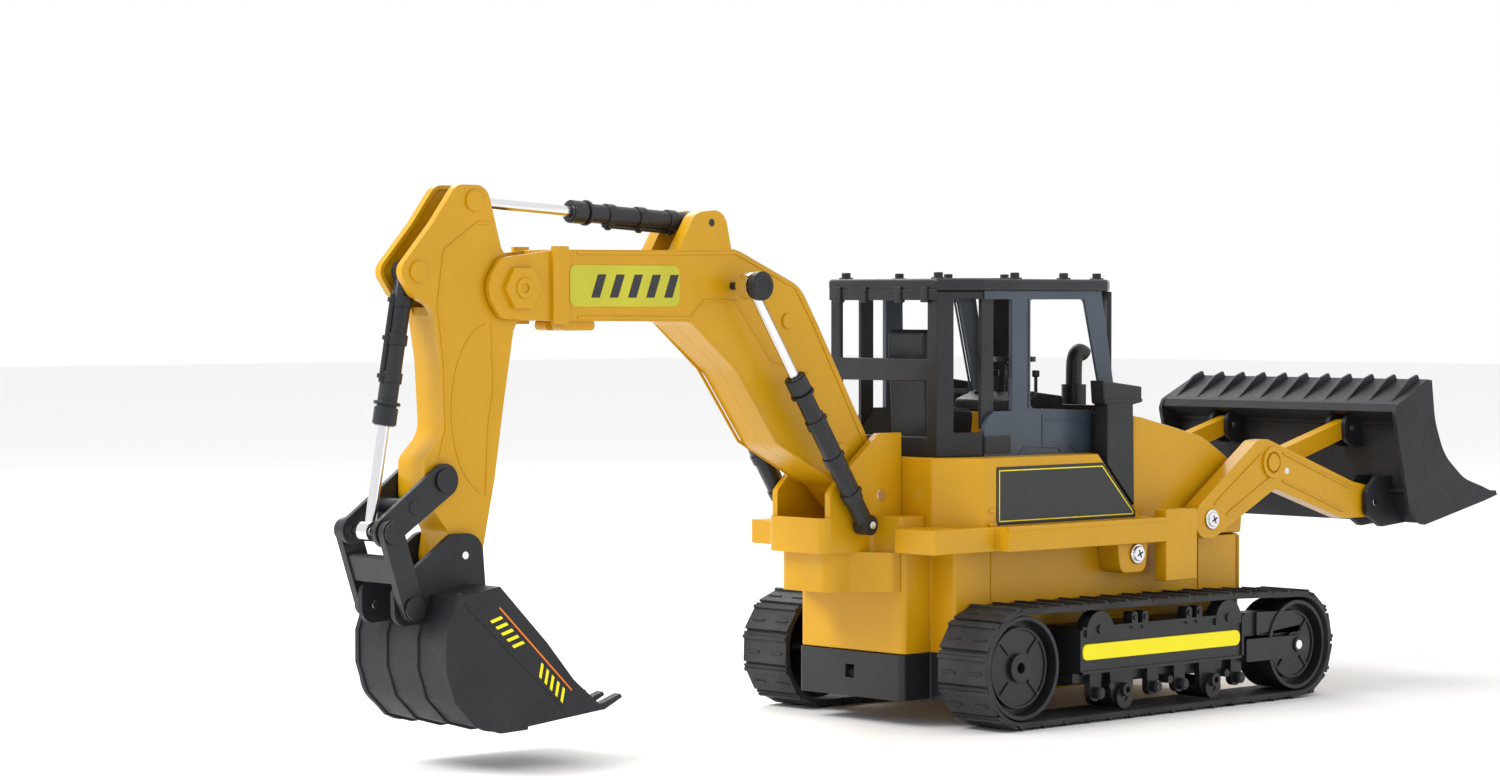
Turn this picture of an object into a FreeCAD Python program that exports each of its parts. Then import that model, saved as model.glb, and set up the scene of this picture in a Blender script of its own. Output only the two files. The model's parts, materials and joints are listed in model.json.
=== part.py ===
"""Toy backhoe loader on tracks: every piece is its own solid in its own node.

Frame: +X towards the loader bucket, +Y left, +Z up, millimetres. Pieces are drawn about a
datum midway between the tracks and moved along X at the end, so that the origin lies under
the middle of the whole machine, on the ground.
"""
import FreeCAD, Part
import math
import os

import Sketcher

Vector = FreeCAD.Vector

# Driving dimensions in millimetres. Each becomes a cell of the sheet, with its name as alias.
DIMENSIONS = {
    "origin_shift": 80.0,
    # tracks and running gear
    "track_span": 169.0, "belt_width": 32.0, "belt_thickness": 4.2,
    "rear_axle_x": -105.0, "rear_axle_z": 30.0, "rear_belt_radius": 30.0,
    "front_axle_x": 104.0, "front_axle_z": 28.0, "front_belt_radius": 28.0,
    "wheel_gap": 0.6, "axle_radius": 2.5, "running_gap": 0.05,
    "plate_inner": 52.0, "plate_outer": 56.0, "plate_radius": 14.0, "cover_outer": 83.5,
    "wheel_inner": 58.5, "idler_inner": 60.4, "wheel_outer": 82.5, "dish_depth": 3.0,
    "wheel_rim": 4.0, "hub_radius": 6.5, "axle_inner": 44.0, "axle_outer": 74.0,
    "idler_pin_outer": 84.0, "roller_radius": 5.6, "roller_z": 10.4, "roller_inner": 60.0,
    "roller_outer": 81.0,
    # body
    "hull_floor": 14.0, "hull_top": 84.5, "wall": 2.0, "axle_hole": 3.6,
    "case_floor": 12.9, "case_top": 35.2, "cell_radius": 3.9, "cell_half": 25.0,
    "cell_z": 22.0, "cell_pitch": 8.2, "gearbox_inner": 22.0, "gearbox_outer": 47.5,
    "nose_inner": 42.0, "nose_radius": 8.0, "board_low": 22.0, "board_top": 23.6,
    "chip_top": 26.0, "knob_low": 11.6, "knob_top": 17.5, "motor_half": 16.0,
    "deck_half": 60.0, "deck_low": 85.0, "deck_top": 130.0, "fender_half": 72.0,
    "fender_lip": 64.0, "rear_fender_inner": 36.5, "hood_half": 50.0,
    "bracket_top": 102.0, "bracket_foot": 66.0,
    "cheek_inner": 16.5, "cheek_outer": 20.0, "foot_pin_outer": 31.0,
    "lug_inner": 52.0, "lug_outer": 66.0, "screw_head_outer": 68.5, "lift_boss_radius": 8.0,
    "lift_boss_outer": 54.0, "lift_shank_outer": 63.4, "lift_head_outer": 65.4,
    # cab
    "cab_side": 45.0, "cab_skin": 2.4, "cab_front_low": 148.5, "roof_low": 211.0,
    "roof_top": 217.0, "tub_floor": 136.0, "tub_top": 150.0, "seat_half": 13.0,
    "console_half": 24.0, "column_half": 4.0, "intake_inner": 50.4, "intake_outer": 59.5,
    "hand_wheel_radius": 11.0, "hand_wheel_bore": 8.6, "hand_wheel_hub": 3.0,
    "hand_wheel_low": 175.2, "hand_wheel_top": 177.8, "hand_wheel_hub_top": 178.6,
    "stack_collar": 6.5, "stack_radius": 4.2, "stack_foot": 147.6, "stack_collar_top": 163.0,
    "stack_top": 182.0,
    # backhoe
    "boom_half": 13.0, "stick_half": 9.4, "fork_inner": 10.4, "shell": 1.8,
    "boom_lug_inner": 6.0, "fork_boss": 2.0, "fork_boss_radius": 8.0, "stick_slot": 5.6,
    "stub_inner": 4.4, "stick_pin_half": 13.4, "head_knob_radius": 6.8,
    "head_knob_inner": 30.4, "head_knob_outer": 34.0,
    "rocker_inner": 10.2, "rocker_outer": 13.0, "link_inner": 13.6, "link_outer": 17.5,
    "scoop_half": 33.0, "scoop_wall": 2.2, "tooth_half": 2.2, "brace_radius": 3.2,
    "top_pin_inner": 5.0, "link_pin_outer": 18.0,
    "pin_radius": 3.0, "small_pin_radius": 1.8, "rod_radius": 2.5, "barrel_radius": 4.4,
    "barrel_bore": 2.8, "cylinder_y": 25.5, "ram_eye_radius": 5.0, "ram_eye_half": 3.6,
    "wide_head_eye": 6.4, "head_eye": 4.4, "head_eye_play": 2.2,
    # loader
    "arm_inner": 54.5, "arm_outer": 63.0, "loader_half": 82.5, "loader_wall": 2.2,
    "loader_pin_inner": 50.5, "loader_pin_outer": 67.0, "gusset_half": 0.9,
    "strut_pin_inner": 34.4, "strut_pin_outer": 47.6, "slot_radius": 2.8,
    "strut_inner": 37.5, "strut_outer": 44.5, "screw_radius": 4.6,
}

# Joint axes, all along Y, as (X, Z).
BOOM_PIVOT = (-139.0, 112.0)
BOOM_CYLINDER_FOOT = (-155.5, 98.5)
BOOM_CYLINDER_HEAD = (-231.0, 213.0)
STICK_CYLINDER_FOOT = (-244.0, 242.5)
STICK_CYLINDER_HEAD = (-382.0, 250.0)
STICK_PIVOT = (-357.0, 211.5)
SCOOP_CYLINDER_FOOT = (-413.0, 218.7)
ROCKER_PIVOT = (-401.5, 127.5)
SCOOP_PIVOT = (-390.4, 94.4)
LINK_ARM = (-31.5, -21.3)          # rocker arm and scoop ear are equal and parallel
LINK_TOP = (ROCKER_PIVOT[0] + LINK_ARM[0], ROCKER_PIVOT[1] + LINK_ARM[1])
LINK_FOOT = (SCOOP_PIVOT[0] + LINK_ARM[0], SCOOP_PIVOT[1] + LINK_ARM[1])
LOADER_PIVOT = (58.0, 94.0)
LOADER_PIN = (190.5, 98.0)
STRUT_PIN = (196.0, 137.5)
CROSS_ROD = (120.0, 117.0)

doc = FreeCAD.newDocument("backhoe_loader")
sheet = doc.addObject("Spreadsheet::Sheet", "Sizes")
for row, (alias, value) in enumerate(DIMENSIONS.items(), start=1):
    sheet.set(f"A{row}", alias)
    sheet.set(f"B{row}", str(value))
    sheet.setAlias(f"B{row}", alias)
doc.recompute()

nodes = []


def size(expression):
    """Value of an expression in the sheet's names, for the outlines drawn in code."""
    total = 0.0
    for term in expression.replace("- ", "+ -").split("+ "):
        factor = 1.0
        for word in term.strip().split(" * "):
            sign = -1.0 if word.startswith("-") else 1.0
            word = word.lstrip("-")
            factor *= sign * (DIMENSIONS[word] if word in DIMENSIONS else float(word))
        total += factor
    return total


def cell(expression):
    """The same expression with each name pointing at its cell."""
    words = expression.split(" ")
    bound = []
    for word in words:
        sign = "-" if word.startswith("-") and len(word) > 1 else ""
        name = word[len(sign):]
        bound.append(sign + ("Sizes." + name if name in DIMENSIONS else name))
    return " ".join(bound)


def bind(feature, prop, expression):
    feature.setExpression(prop, cell(expression))


def finish(piece, name):
    """Name a finished piece and move it to the row's origin."""
    piece.Label = name
    bind(piece, "Placement.Base.x", "origin_shift")
    nodes.append(piece)


# ---------------------------------------------------------------- outlines

def corner_arc(before, corner, after, radius):
    """Tangent arc that rounds a corner, as its first, middle and last point."""
    a = (before - corner).normalize()
    b = (after - corner).normalize()
    half = a.getAngle(b) / 2
    reach = radius / math.tan(half)
    bisector = (a + b).normalize()
    centre = corner + bisector * (radius / math.sin(half))
    return corner + a * reach, centre - bisector * radius, corner + b * reach


def outline_edges(points):
    """Closed outline of (u, v) or (u, v, corner radius) points as lines and tangent arcs."""
    corners = [Vector(p[0], p[1], 0) for p in points]
    stops = []
    arcs = []
    for i, point in enumerate(points):
        if len(point) > 2 and point[2] > 0:
            first, middle, last = corner_arc(corners[i - 1], corners[i],
                                             corners[(i + 1) % len(points)], point[2])
            arcs.append(Part.Arc(first, middle, last))
        else:
            first = last = corners[i]
            arcs.append(None)
        stops.append((first, last))
    edges = []
    for i, arc in enumerate(arcs):
        if arc:
            edges.append(arc)
        start, end = stops[i][1], stops[(i + 1) % len(points)][0]
        if (end - start).Length > 1e-6:
            edges.append(Part.LineSegment(start, end))
    return edges


def inset(points, distance):
    """The same outline moved inwards (outwards if negative), corner radii following."""
    corners = [Vector(p[0], p[1], 0) for p in points]
    count = len(corners)
    area = sum(corners[i].x * corners[(i + 1) % count].y
               - corners[(i + 1) % count].x * corners[i].y for i in range(count))
    side = distance if area > 0 else -distance
    moved = []
    for i, point in enumerate(points):
        a = (corners[i] - corners[i - 1]).normalize()
        b = (corners[(i + 1) % count] - corners[i]).normalize()
        normal_a = Vector(-a.y, a.x, 0)
        normal_b = Vector(-b.y, b.x, 0)
        bisector = (normal_a + normal_b).normalize()
        place = corners[i] + bisector * (side / bisector.dot(normal_a))
        radius = point[2] if len(point) > 2 else 0
        inward = a.cross(b).z * side > 0
        radius = max(radius - distance, 0) if inward else (radius + distance if radius else 0)
        moved.append((place.x, place.y, radius))
    return moved


def band(points, thickness):
    """Closed outline of a strip of even thickness to the left of an open line of points."""
    line = [Vector(p[0], p[1], 0) for p in points]
    ways = [(b - a).normalize() for a, b in zip(line, line[1:])]
    normals = [Vector(-w.y, w.x, 0) for w in ways]
    other = []
    for i, place in enumerate(line):
        first = normals[max(i - 1, 0)]
        second = normals[min(i, len(normals) - 1)]
        bisector = (first + second).normalize()
        other.append(place + bisector * (thickness / bisector.dot(first)))
    near = [tuple(p) for p in points]
    far = [(p.x, p.y) for p in reversed(other)]
    return near + far


ROUND_END = 0.98                       # under 1, so that a short flat stays at each end of a link


def bar(start, end, radius_start, radius_end):
    """Outline of a link with round ends about two pins, tapered where their radii differ.

    The wide end's corners are under a right angle, so they take a smaller radius: a full one
    would make the two arcs of that end cross.
    """
    a = Vector(start[0], start[1], 0)
    b = Vector(end[0], end[1], 0)
    along = (b - a).normalize()
    across = Vector(-along.y, along.x, 0)
    taper = math.atan((radius_end - radius_start) / ((b - a).Length + radius_start + radius_end))
    round_start = ROUND_END * radius_start * math.tan((math.pi / 2 + taper) / 2)
    round_end = ROUND_END * radius_end * math.tan((math.pi / 2 - taper) / 2)
    corners = [(a - along * radius_start - across * radius_start, round_start),
               (b + along * radius_end - across * radius_end, round_end),
               (b + along * radius_end + across * radius_end, round_end),
               (a - along * radius_start + across * radius_start, round_start)]
    return [(place.x, place.y, radius) for place, radius in corners]


# ---------------------------------------------------------------- features

def new_body(name):
    return doc.addObject("PartDesign::Body", name + "_body")


def new_sketch(body, plane, low, high):
    """Sketch on one of the body's own planes, where its slab begins along the plane's normal."""
    sketch = body.newObject("Sketcher::SketchObject", "Outline")
    origin_plane = [p for p in body.Origin.OriginFeatures if p.Role == plane][0]
    sketch.AttachmentSupport = [(origin_plane, "")]
    sketch.MapMode = "FlatFace"
    start = f"-1 * ({cell(high)})" if plane == "XZ_Plane" else cell(low)
    sketch.setExpression("AttachmentOffset.Base.z", start)
    return sketch


def extrude(body, sketch, low, high, cut):
    feature = body.newObject("PartDesign::Pocket" if cut else "PartDesign::Pad",
                             "Pocket" if cut else "Pad")
    feature.Profile = sketch
    feature.setExpression("Length", f"({cell(high)}) - ({cell(low)})")
    if cut:
        feature.Reversed = True
    before = body.Shape.Volume if cut else 0.0
    doc.recompute()
    if cut and not body.Shape.Volume < before - 1e-3:
        raise RuntimeError(f"{body.Name}: a pocket removes nothing")
    return feature


def slab(body, points, low, high, holes=(), plane="XZ_Plane", cut=False):
    """Pad or pocket an outline from low to high across its plane, with round holes.

    holes are (centre, radius) pairs, the radius an expression in the sheet's names.
    """
    sketch = new_sketch(body, plane, low, high)
    for edge in outline_edges(points):
        sketch.addGeometry(edge, False)
    for centre, radius in holes:
        add_circle(sketch, centre, radius)
    return extrude(body, sketch, low, high, cut)


def add_circle(sketch, centre, radius):
    place = Vector(centre[0], centre[1], 0)
    index = sketch.addGeometry(Part.Circle(place, Vector(0, 0, 1), size(radius)), False)
    number = sketch.addConstraint(Sketcher.Constraint("Radius", index, size(radius)))
    sketch.setExpression(f"Constraints[{number}]", cell(radius))


def disc(body, centre, radius, low, high, bore=None, plane="XZ_Plane", cut=False):
    """Pad or pocket a round disc, with an optional bore."""
    sketch = new_sketch(body, plane, low, high)
    add_circle(sketch, centre, radius)
    if bore:
        add_circle(sketch, centre, bore)
    return extrude(body, sketch, low, high, cut)


def rod(name, centre, radius, low, high, axis="Y"):
    """Round primitive from low to high along an axis, for pins and screws."""
    pin = doc.addObject("Part::Cylinder", name)
    bind(pin, "Radius", radius)
    pin.setExpression("Height", f"({cell(high)}) - ({cell(low)})")
    if axis == "Y":
        turn = FreeCAD.Rotation(Vector(1, 0, 0), -90)
        pin.Placement = FreeCAD.Placement(Vector(centre[0], size(low), centre[1]), turn)
        pin.setExpression("Placement.Base.y", cell(low))
    else:
        turn = FreeCAD.Rotation()
        pin.Placement = FreeCAD.Placement(Vector(centre[0], centre[1], size(low)), turn)
        pin.setExpression("Placement.Base.z", cell(low))
    return pin


def group(name, pieces):
    """Separate solids that share one node."""
    compound = doc.addObject("Part::Compound", name + "_group")
    compound.Links = pieces
    finish(compound, name)


shared = {}


def collect(name, piece):
    """Keep a piece for the node that it shares with its like on the other side."""
    shared.setdefault(name, []).append(piece)


def fused(name, pieces):
    union = doc.addObject("Part::MultiFuse", name)
    union.Shapes = pieces
    return union


def negated(expression):
    """The expression with the sign of each of its terms changed."""
    terms = expression.replace(" - ", " + -").split(" + ")
    return " + ".join(term[1:] if term.startswith("-") else "-1 * " + term for term in terms)


def across(side, inner, outer):
    """Low and high Y expressions of a slab between two distances from the centre plane."""
    if side == "left":
        return inner, outer
    return negated(outer), negated(inner)


SIDES = ("right", "left")


# ---------------------------------------------------------------- tracks

def belt_path():
    """Outer line of a belt: two round ends, a flat bottom and a top with a low crown."""
    rear, front = size("rear_belt_radius"), size("front_belt_radius")
    back, nose = size("rear_axle_x") - rear, size("front_axle_x") + front
    crown = (54.0, 2 * rear - 1.4)
    roundness = 0.96                   # under 1, so that a short flat stays at each end
    rear_round, front_round = roundness * rear, roundness * front
    return [(back, 0, rear_round), (nose, 0, front_round), (nose, 2 * front, front_round),
            (crown[0], crown[1], 40), (back, 2 * rear, rear_round)]


def make_track(side):
    belt = new_body("track_belt_" + side)
    low, high = across(side, "0.5 * track_span - belt_width", "0.5 * track_span")
    path = belt_path()
    slab(belt, path, low, high)
    slab(belt, inset(path, size("belt_thickness")), low, high, cut=True)
    finish(belt, "track_belt_" + side)

    rear = (size("rear_axle_x"), size("rear_axle_z"))
    front = (size("front_axle_x"), size("front_axle_z"))
    plate = new_body("track_plate_" + side)
    low, high = across(side, "plate_inner", "plate_outer")
    radius = size("plate_radius")
    slab(plate, bar(rear, front, radius, radius), low, high,
         holes=[(rear, "axle_radius + running_gap"), (front, "axle_radius")])
    collect("track_plates", plate)

    cover = new_body("track_cover_" + side)
    low, high = across(side, "plate_outer", "cover_outer")
    slab(cover, [(-72, 17, 3), (62, 17, 3), (62, 52, 3), (-72, 52, 3)], low, high)
    low, high = across(side, "plate_outer", "roller_inner")
    slab(cover, bar((50, 33), (104, 28), 6, 9), low, high, holes=[(front, "axle_radius")])
    collect("track_covers", cover)

    for index, x in enumerate((-30.5, 37.5)):
        low, high = across(side, "roller_inner", "roller_outer")
        collect("track_rollers", rod(f"roller_{side}_{index}", (x, size("roller_z")),
                                     "roller_radius", low, high))

    for name, axle, belt_radius, inner, bore in (
            ("drive_wheel_", rear, "rear_belt_radius", "wheel_inner", "axle_radius"),
            ("idler_wheel_", front, "front_belt_radius", "idler_inner", "axle_radius + running_gap")):
        radius = belt_radius + " - belt_thickness - wheel_gap"
        wheel = new_body(name + side)
        disc(wheel, axle, radius, *across(side, inner, "wheel_outer"), bore=bore)
        low, high = across(side, "wheel_outer - dish_depth", "wheel_outer")
        dish = new_sketch(wheel, "XZ_Plane", low, high)
        add_circle(dish, axle, radius + " - wheel_rim")
        add_circle(dish, axle, "hub_radius")
        extrude(wheel, dish, low, high, True)
        finish(wheel, name + side)

    low, high = across(side, "axle_inner", "axle_outer")
    group("drive_axle_" + side, [rod("axle_rod_" + side, rear, "axle_radius", low, high)])
    low, high = across(side, "plate_inner", "idler_pin_outer")
    collect("idler_pins", rod("idler_pin_" + side, front, "axle_radius", low, high))


for side_name in SIDES:
    make_track(side_name)


# ---------------------------------------------------------------- body

REAR_AXLE = (size("rear_axle_x"), size("rear_axle_z"))
HULL_PLAN = [(-140, -36, 3), (-121, -36), (-121, -52, 2), (98, -52, 8), (98, 52, 8),
             (-121, 52, 2), (-121, 36), (-140, 36, 3)]
CASE_FRONT = -104.0                # the battery case fills the hull's low rear end
CASE_TOP = 35.5

hull = new_body("lower_hull")
slab(hull, HULL_PLAN, "hull_floor", "hull_top", plane="XY_Plane")
slab(hull, inset(HULL_PLAN, size("wall")), "hull_floor + wall", "hull_top",
     plane="XY_Plane", cut=True)
slab(hull, [(-150, 10), (CASE_FRONT, 10), (CASE_FRONT, CASE_TOP), (-150, CASE_TOP)],
     "-1 * deck_half", "deck_half", cut=True)
disc(hull, REAR_AXLE, "axle_hole", "-1 * deck_half", "deck_half", cut=True)
finish(hull, "lower_hull")

case = new_body("battery_case")
CASE_PLAN = [(-141, -36, 3), (-121.5, -36, 1), (-121.5, -51.4, 4), (CASE_FRONT - 0.3, -51.4),
             (CASE_FRONT - 0.3, 51.4), (-121.5, 51.4, 4), (-121.5, 36, 1), (-141, 36, 3)]
slab(case, CASE_PLAN, "case_floor", "case_top", plane="XY_Plane")
slab(case, inset(CASE_PLAN, size("wall")), "case_floor + wall", "case_top",
     plane="XY_Plane", cut=True)
slab(case, [(-3, 22), (3, 22), (3, 28.5), (-3, 28.5)], "-142", "-138", plane="YZ_Plane", cut=True)
disc(case, REAR_AXLE, "axle_hole", "-1 * deck_half", "deck_half", cut=True)
for side_name in SIDES:
    notch_low, notch_high = across(side_name, "nose_inner - 1", "gearbox_outer + 1")
    slab(case, [(-108, 20), (-103, 20), (-103, 36), (-108, 36)], notch_low, notch_high, cut=True)
finish(case, "battery_case")

FIRST_CELL_X = -130.0
battery = [rod(f"cell_{i}", (FIRST_CELL_X + size("cell_pitch") * i, size("cell_z")),
               "cell_radius", "-1 * cell_half", "cell_half") for i in range(3)]
group("battery_pack", battery)

for side_name in SIDES:
    gear_low, gear_high = across(side_name, "gearbox_inner", "gearbox_outer")
    gearbox = new_body("drive_gearbox_" + side_name)
    slab(gearbox, [(-102, 17), (-70, 17), (-70, 46), (-102, 46)], gear_low, gear_high)
    mount_low, mount_high = across(side_name, "nose_inner", "gearbox_outer")
    disc(gearbox, REAR_AXLE, "nose_radius", mount_low, mount_high)
    disc(gearbox, REAR_AXLE, "axle_radius + running_gap", mount_low, mount_high, cut=True)
    collect("drive_gearboxes", gearbox)

board = new_body("receiver_board")
slab(board, [(-30, -30), (40, -30), (40, 30), (-30, 30)], "board_low", "board_top", plane="XY_Plane")
slab(board, [(-10, -11), (12, -11), (12, 11), (-10, 11)], "board_top", "chip_top", plane="XY_Plane")
finish(board, "receiver_board")

switch_slot = [(-20, -6), (-2, -6), (-2, 6), (-20, 6)]
slab(hull, switch_slot, "hull_floor", "hull_floor + wall", plane="XY_Plane", cut=True)
switch = new_body("power_switch")
slab(switch, [(-18, -5), (-8, -5), (-8, 5), (-18, 5)], "knob_low", "knob_top", plane="XY_Plane")
finish(switch, "power_switch")

deck = new_body("upper_body")
DECK_PLAN = [(-125, -40, 3), (-109, -60, 3), (12, -60), (12, 60), (-109, 60, 3), (-125, 40, 3)]
slab(deck, DECK_PLAN, "deck_low", "deck_top", plane="XY_Plane")
slab(deck, inset(DECK_PLAN, size("wall")), "deck_low", "deck_top - wall",
     plane="XY_Plane", cut=True)
DECK_SLOPE = [(-31, 135), (5, 97.5), (14, 97.5), (14, 135)]      # clears the intake columns
for side_name in SIDES:
    slab(deck, DECK_SLOPE, *across(side_name, "cab_side", "deck_half"), cut=True)
    slab(deck, [(-31, 97.5), (12, 97.5), (12, 130), (-31, 130)],
         *across(side_name, "cab_side - wall", "cab_side"))
finish(deck, "upper_body")

for side_name in SIDES:
    fender = new_body("fender_" + side_name)
    low, high = across(side_name, "deck_half", "fender_half")
    slab(fender, [(-104, 85), (12, 85), (12, 97), (-104, 97)], low, high)
    low, high = across(side_name, "deck_half", "fender_lip")
    slab(fender, [(-126, 85), (-104, 85), (-104, 97), (-126, 97)], low, high)
    low, high = across(side_name, "rear_fender_inner", "fender_lip")
    slab(fender, [(-147, 85), (-125.3, 85), (-125.3, 97), (-147, 97)], low, high)
    low, high = across(side_name, "fender_lip", "fender_half")
    slab(fender, [(12, 65), (36, 65), (36, 101), (12, 101)], low, high)
    low, high = across(side_name, "fender_lip + 1.5", "fender_half - 1.5")
    slab(fender, [(18, 68), (36.1, 68), (36.1, 101.1), (18, 101.1)], low, high, cut=True)
    collect("fenders", fender)

hood = new_body("hood")
HOOD_SIDE = [(12, 85), (98, 85), (100, 106, 6), (91, 122.5, 30), (67, 136, 40), (46, 141, 40),
             (19, 147, 30), (12, 148)]
slab(hood, HOOD_SIDE, "-1 * hood_half", "hood_half")
slab(hood, inset(HOOD_SIDE, size("wall")), "-1 * hood_half + wall", "hood_half - wall", cut=True)
finish(hood, "hood")

BRACKET_PLAN = [(-178, -20, 5), (-146, -20, 3), (-141, -35.8, 3), (-125.3, -35.8), (-125.3, 35.8),
                (-141, 35.8, 3), (-146, 20, 3), (-178, 20, 5)]
CHEEK = [(-125.5, 101), (-125.5, 142), (-141, 142, 3), (-166, 122, 4), (-174, 114, 4), (-174, 101)]
BRACKET_FOOT = [(-172, -18, 6), (-156, -18, 8), (-146, -34, 4), (-140.4, -34), (-140.4, 34),
                (-146, 34, 4), (-156, 18, 8), (-172, 18, 6)]
bracket = new_body("boom_bracket")
slab(bracket, BRACKET_PLAN, "deck_low", "bracket_top", plane="XY_Plane")
for low, high in (("cheek_inner", "cheek_outer"), ("-1 * cheek_outer", "-1 * cheek_inner")):
    slab(bracket, CHEEK, low, high, holes=[(BOOM_PIVOT, "pin_radius")])
slab(bracket, [(-176, 92), (-128, 92), (-128, 103), (-176, 103)],
     "-1 * cheek_inner", "cheek_inner", cut=True)
slab(bracket, BRACKET_FOOT, "bracket_foot", "deck_low", plane="XY_Plane")
finish(bracket, "boom_bracket")

bracket_pins = [rod("boom_pivot_pin", BOOM_PIVOT, "pin_radius", "-1 * cheek_outer", "cheek_outer")]
bracket_pins += [rod("foot_pin_" + side_name, BOOM_CYLINDER_FOOT, "small_pin_radius",
                     *across(side_name, "cheek_outer", "foot_pin_outer")) for side_name in SIDES]
group("boom_bracket_pins", bracket_pins)

# ---------------------------------------------------------------- cab

CAB_REAR = [(-94, -45), (-118, -37), (-118, 37), (-94, 45)]
guard = new_body("cab_rear_frame")
skin = size("cab_skin")
slab(guard, band(CAB_REAR, -skin), "deck_top", "roof_low", plane="XY_Plane")
for low_z, high_z in ((140, 167), (178, 207)):
    slab(guard, [(-30, low_z), (30, low_z), (30, high_z), (-30, high_z)], "-119", "-115",
         plane="YZ_Plane", cut=True)
slab(guard, [(-109, 142), (-93, 142), (-93, 207), (-109, 207)],
     "-1 * deck_half", "deck_half", cut=True)
finish(guard, "cab_rear_frame")

SIDE_PANEL = [(-93, 130), (4, 130), (2, 165), (-7, 211), (-93, 211), (-93, 207), (-73, 207),
              (-73, 152), (-93, 152, 10)]
INTAKE = [(2, 103), (1, 154), (7.5, 155), (7.5, 163), (-22, 166.5), (-21, 155), (-18.5, 154),
          (-18.5, 124.5)]
WINDOW = [(-60, 153, 3), (-5, 151, 3), (-8, 165), (-19, 207, 3), (-61, 207, 3)]
for side_name in SIDES:
    low, high = across(side_name, "cab_side - cab_skin", "cab_side")
    panel = new_body("cab_side_" + side_name)
    slab(panel, SIDE_PANEL, low, high)
    slab(panel, WINDOW, low, high, cut=True)
    collect("cab_sides", panel)

    intake = new_body("intake_column_" + side_name)
    slab(intake, INTAKE, *across(side_name, "intake_inner", "intake_outer"))
    low, high = across(side_name, "cab_side", "intake_inner")
    slab(intake, [(-15, 131), (0, 131), (0, 150), (-15, 150)], low, high)
    collect("intake_columns", intake)

front = new_body("cab_front_frame")
CAB_FRONT = [(4.3, 42), (10, 33), (10, -33), (4.3, -42)]
slab(front, band(CAB_FRONT, -skin), "cab_front_low", "roof_low", plane="XY_Plane")
slab(front, [(-30, 153), (30, 153), (26, 207), (-26, 207)], "0", "12", plane="YZ_Plane", cut=True)
finish(front, "cab_front_frame")

roof = new_body("cab_roof")
ROOF_PLAN = [(-119, -38, 3), (-95, -46.5, 3), (-4, -46.5, 3), (12, -34, 5), (12, 34, 5),
             (-4, 46.5, 3), (-95, 46.5, 3), (-119, 38, 3)]
slab(roof, ROOF_PLAN, "roof_low", "roof_top", plane="XY_Plane")
finish(roof, "cab_roof")

tub = new_body("cab_tub")
slab(tub, [(-112, -34), (-92, -41), (-2, -41), (-2, 41), (-92, 41), (-112, 34)],
     "deck_top", "tub_floor", plane="XY_Plane")
slab(tub, [(-44, -38), (-4, -38), (-4, 38), (-44, 38)], "tub_floor", "tub_top", plane="XY_Plane")
finish(tub, "cab_tub")

seat = new_body("seat")
slab(seat, [(-100, 136), (-68, 136), (-66, 152, 4), (-88, 154, 3), (-94, 192, 4), (-103, 192, 4),
            (-100, 150)], "-1 * seat_half", "seat_half")
finish(seat, "seat")

console = new_body("console")
slab(console, [(-42, 150), (-12, 150), (-12, 158, 2), (-30, 160, 2), (-42, 156, 2)],
     "-1 * console_half", "console_half")
slab(console, [(-27, 155), (-18, 155), (-19, 175, 2), (-26, 175, 2)],
     "-1 * column_half", "column_half")
finish(console, "console")

HAND_WHEEL = (-23, 0)
wheel = new_body("steering_wheel")
disc(wheel, HAND_WHEEL, "hand_wheel_radius", "hand_wheel_low", "hand_wheel_top",
     bore="hand_wheel_bore", plane="XY_Plane")
slab(wheel, [(-33, -1.2), (-13, -1.2), (-13, 1.2), (-33, 1.2)],
     "hand_wheel_low + 0.2", "hand_wheel_top - 0.4", plane="XY_Plane")
disc(wheel, HAND_WHEEL, "hand_wheel_hub", "hand_wheel_low", "hand_wheel_hub_top", plane="XY_Plane")
finish(wheel, "steering_wheel")

stack = new_body("exhaust_stack")
EXHAUST = (22.5, 0)
disc(stack, EXHAUST, "stack_collar", "stack_foot", "stack_collar_top", plane="XY_Plane")
disc(stack, EXHAUST, "stack_radius", "stack_collar_top", "stack_top", plane="XY_Plane")
finish(stack, "exhaust_stack")

BODY_SCREW = (-4, 79.5)
screws = [rod("body_screw_" + side_name, BODY_SCREW, "screw_radius",
              *across(side_name, "lug_outer", "screw_head_outer")) for side_name in SIDES]
for side_name in SIDES:
    boss = new_body("screw_lug_" + side_name)
    low, high = across(side_name, "lug_inner", "lug_outer")
    slab(boss, [(-16, 70, 5), (3, 70, 5), (5, 84.8), (-18, 84.8)], low, high)
    collect("screw_bosses", boss)
    low, high = across(side_name, "hood_half", "lift_boss_outer")
    rest = new_body("loader_boss_" + side_name)
    disc(rest, LOADER_PIVOT, "lift_boss_radius", low, high, bore="pin_radius")
    collect("screw_bosses", rest)
    pin_low, pin_high = across(side_name, "hood_half", "lift_shank_outer")
    head_low, head_high = across(side_name, "lift_shank_outer", "lift_head_outer")
    screws.append(fused("lift_screw_" + side_name, [
        rod("lift_shank_" + side_name, LOADER_PIVOT, "pin_radius", pin_low, pin_high),
        rod("lift_head_" + side_name, LOADER_PIVOT, "screw_radius", head_low, head_high)]))
group("chrome_screws", screws)

for name, corners in (("boom_motor", [(-118, 90), (-80, 90), (-80, 116), (-118, 116)]),
                      ("loader_motor", [(30, 88), (70, 88), (70, 112), (30, 112)])):
    motor = new_body(name)
    slab(motor, corners, "-1 * motor_half", "motor_half")
    collect("arm_motors", motor)

# ---------------------------------------------------------------- boom

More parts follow.
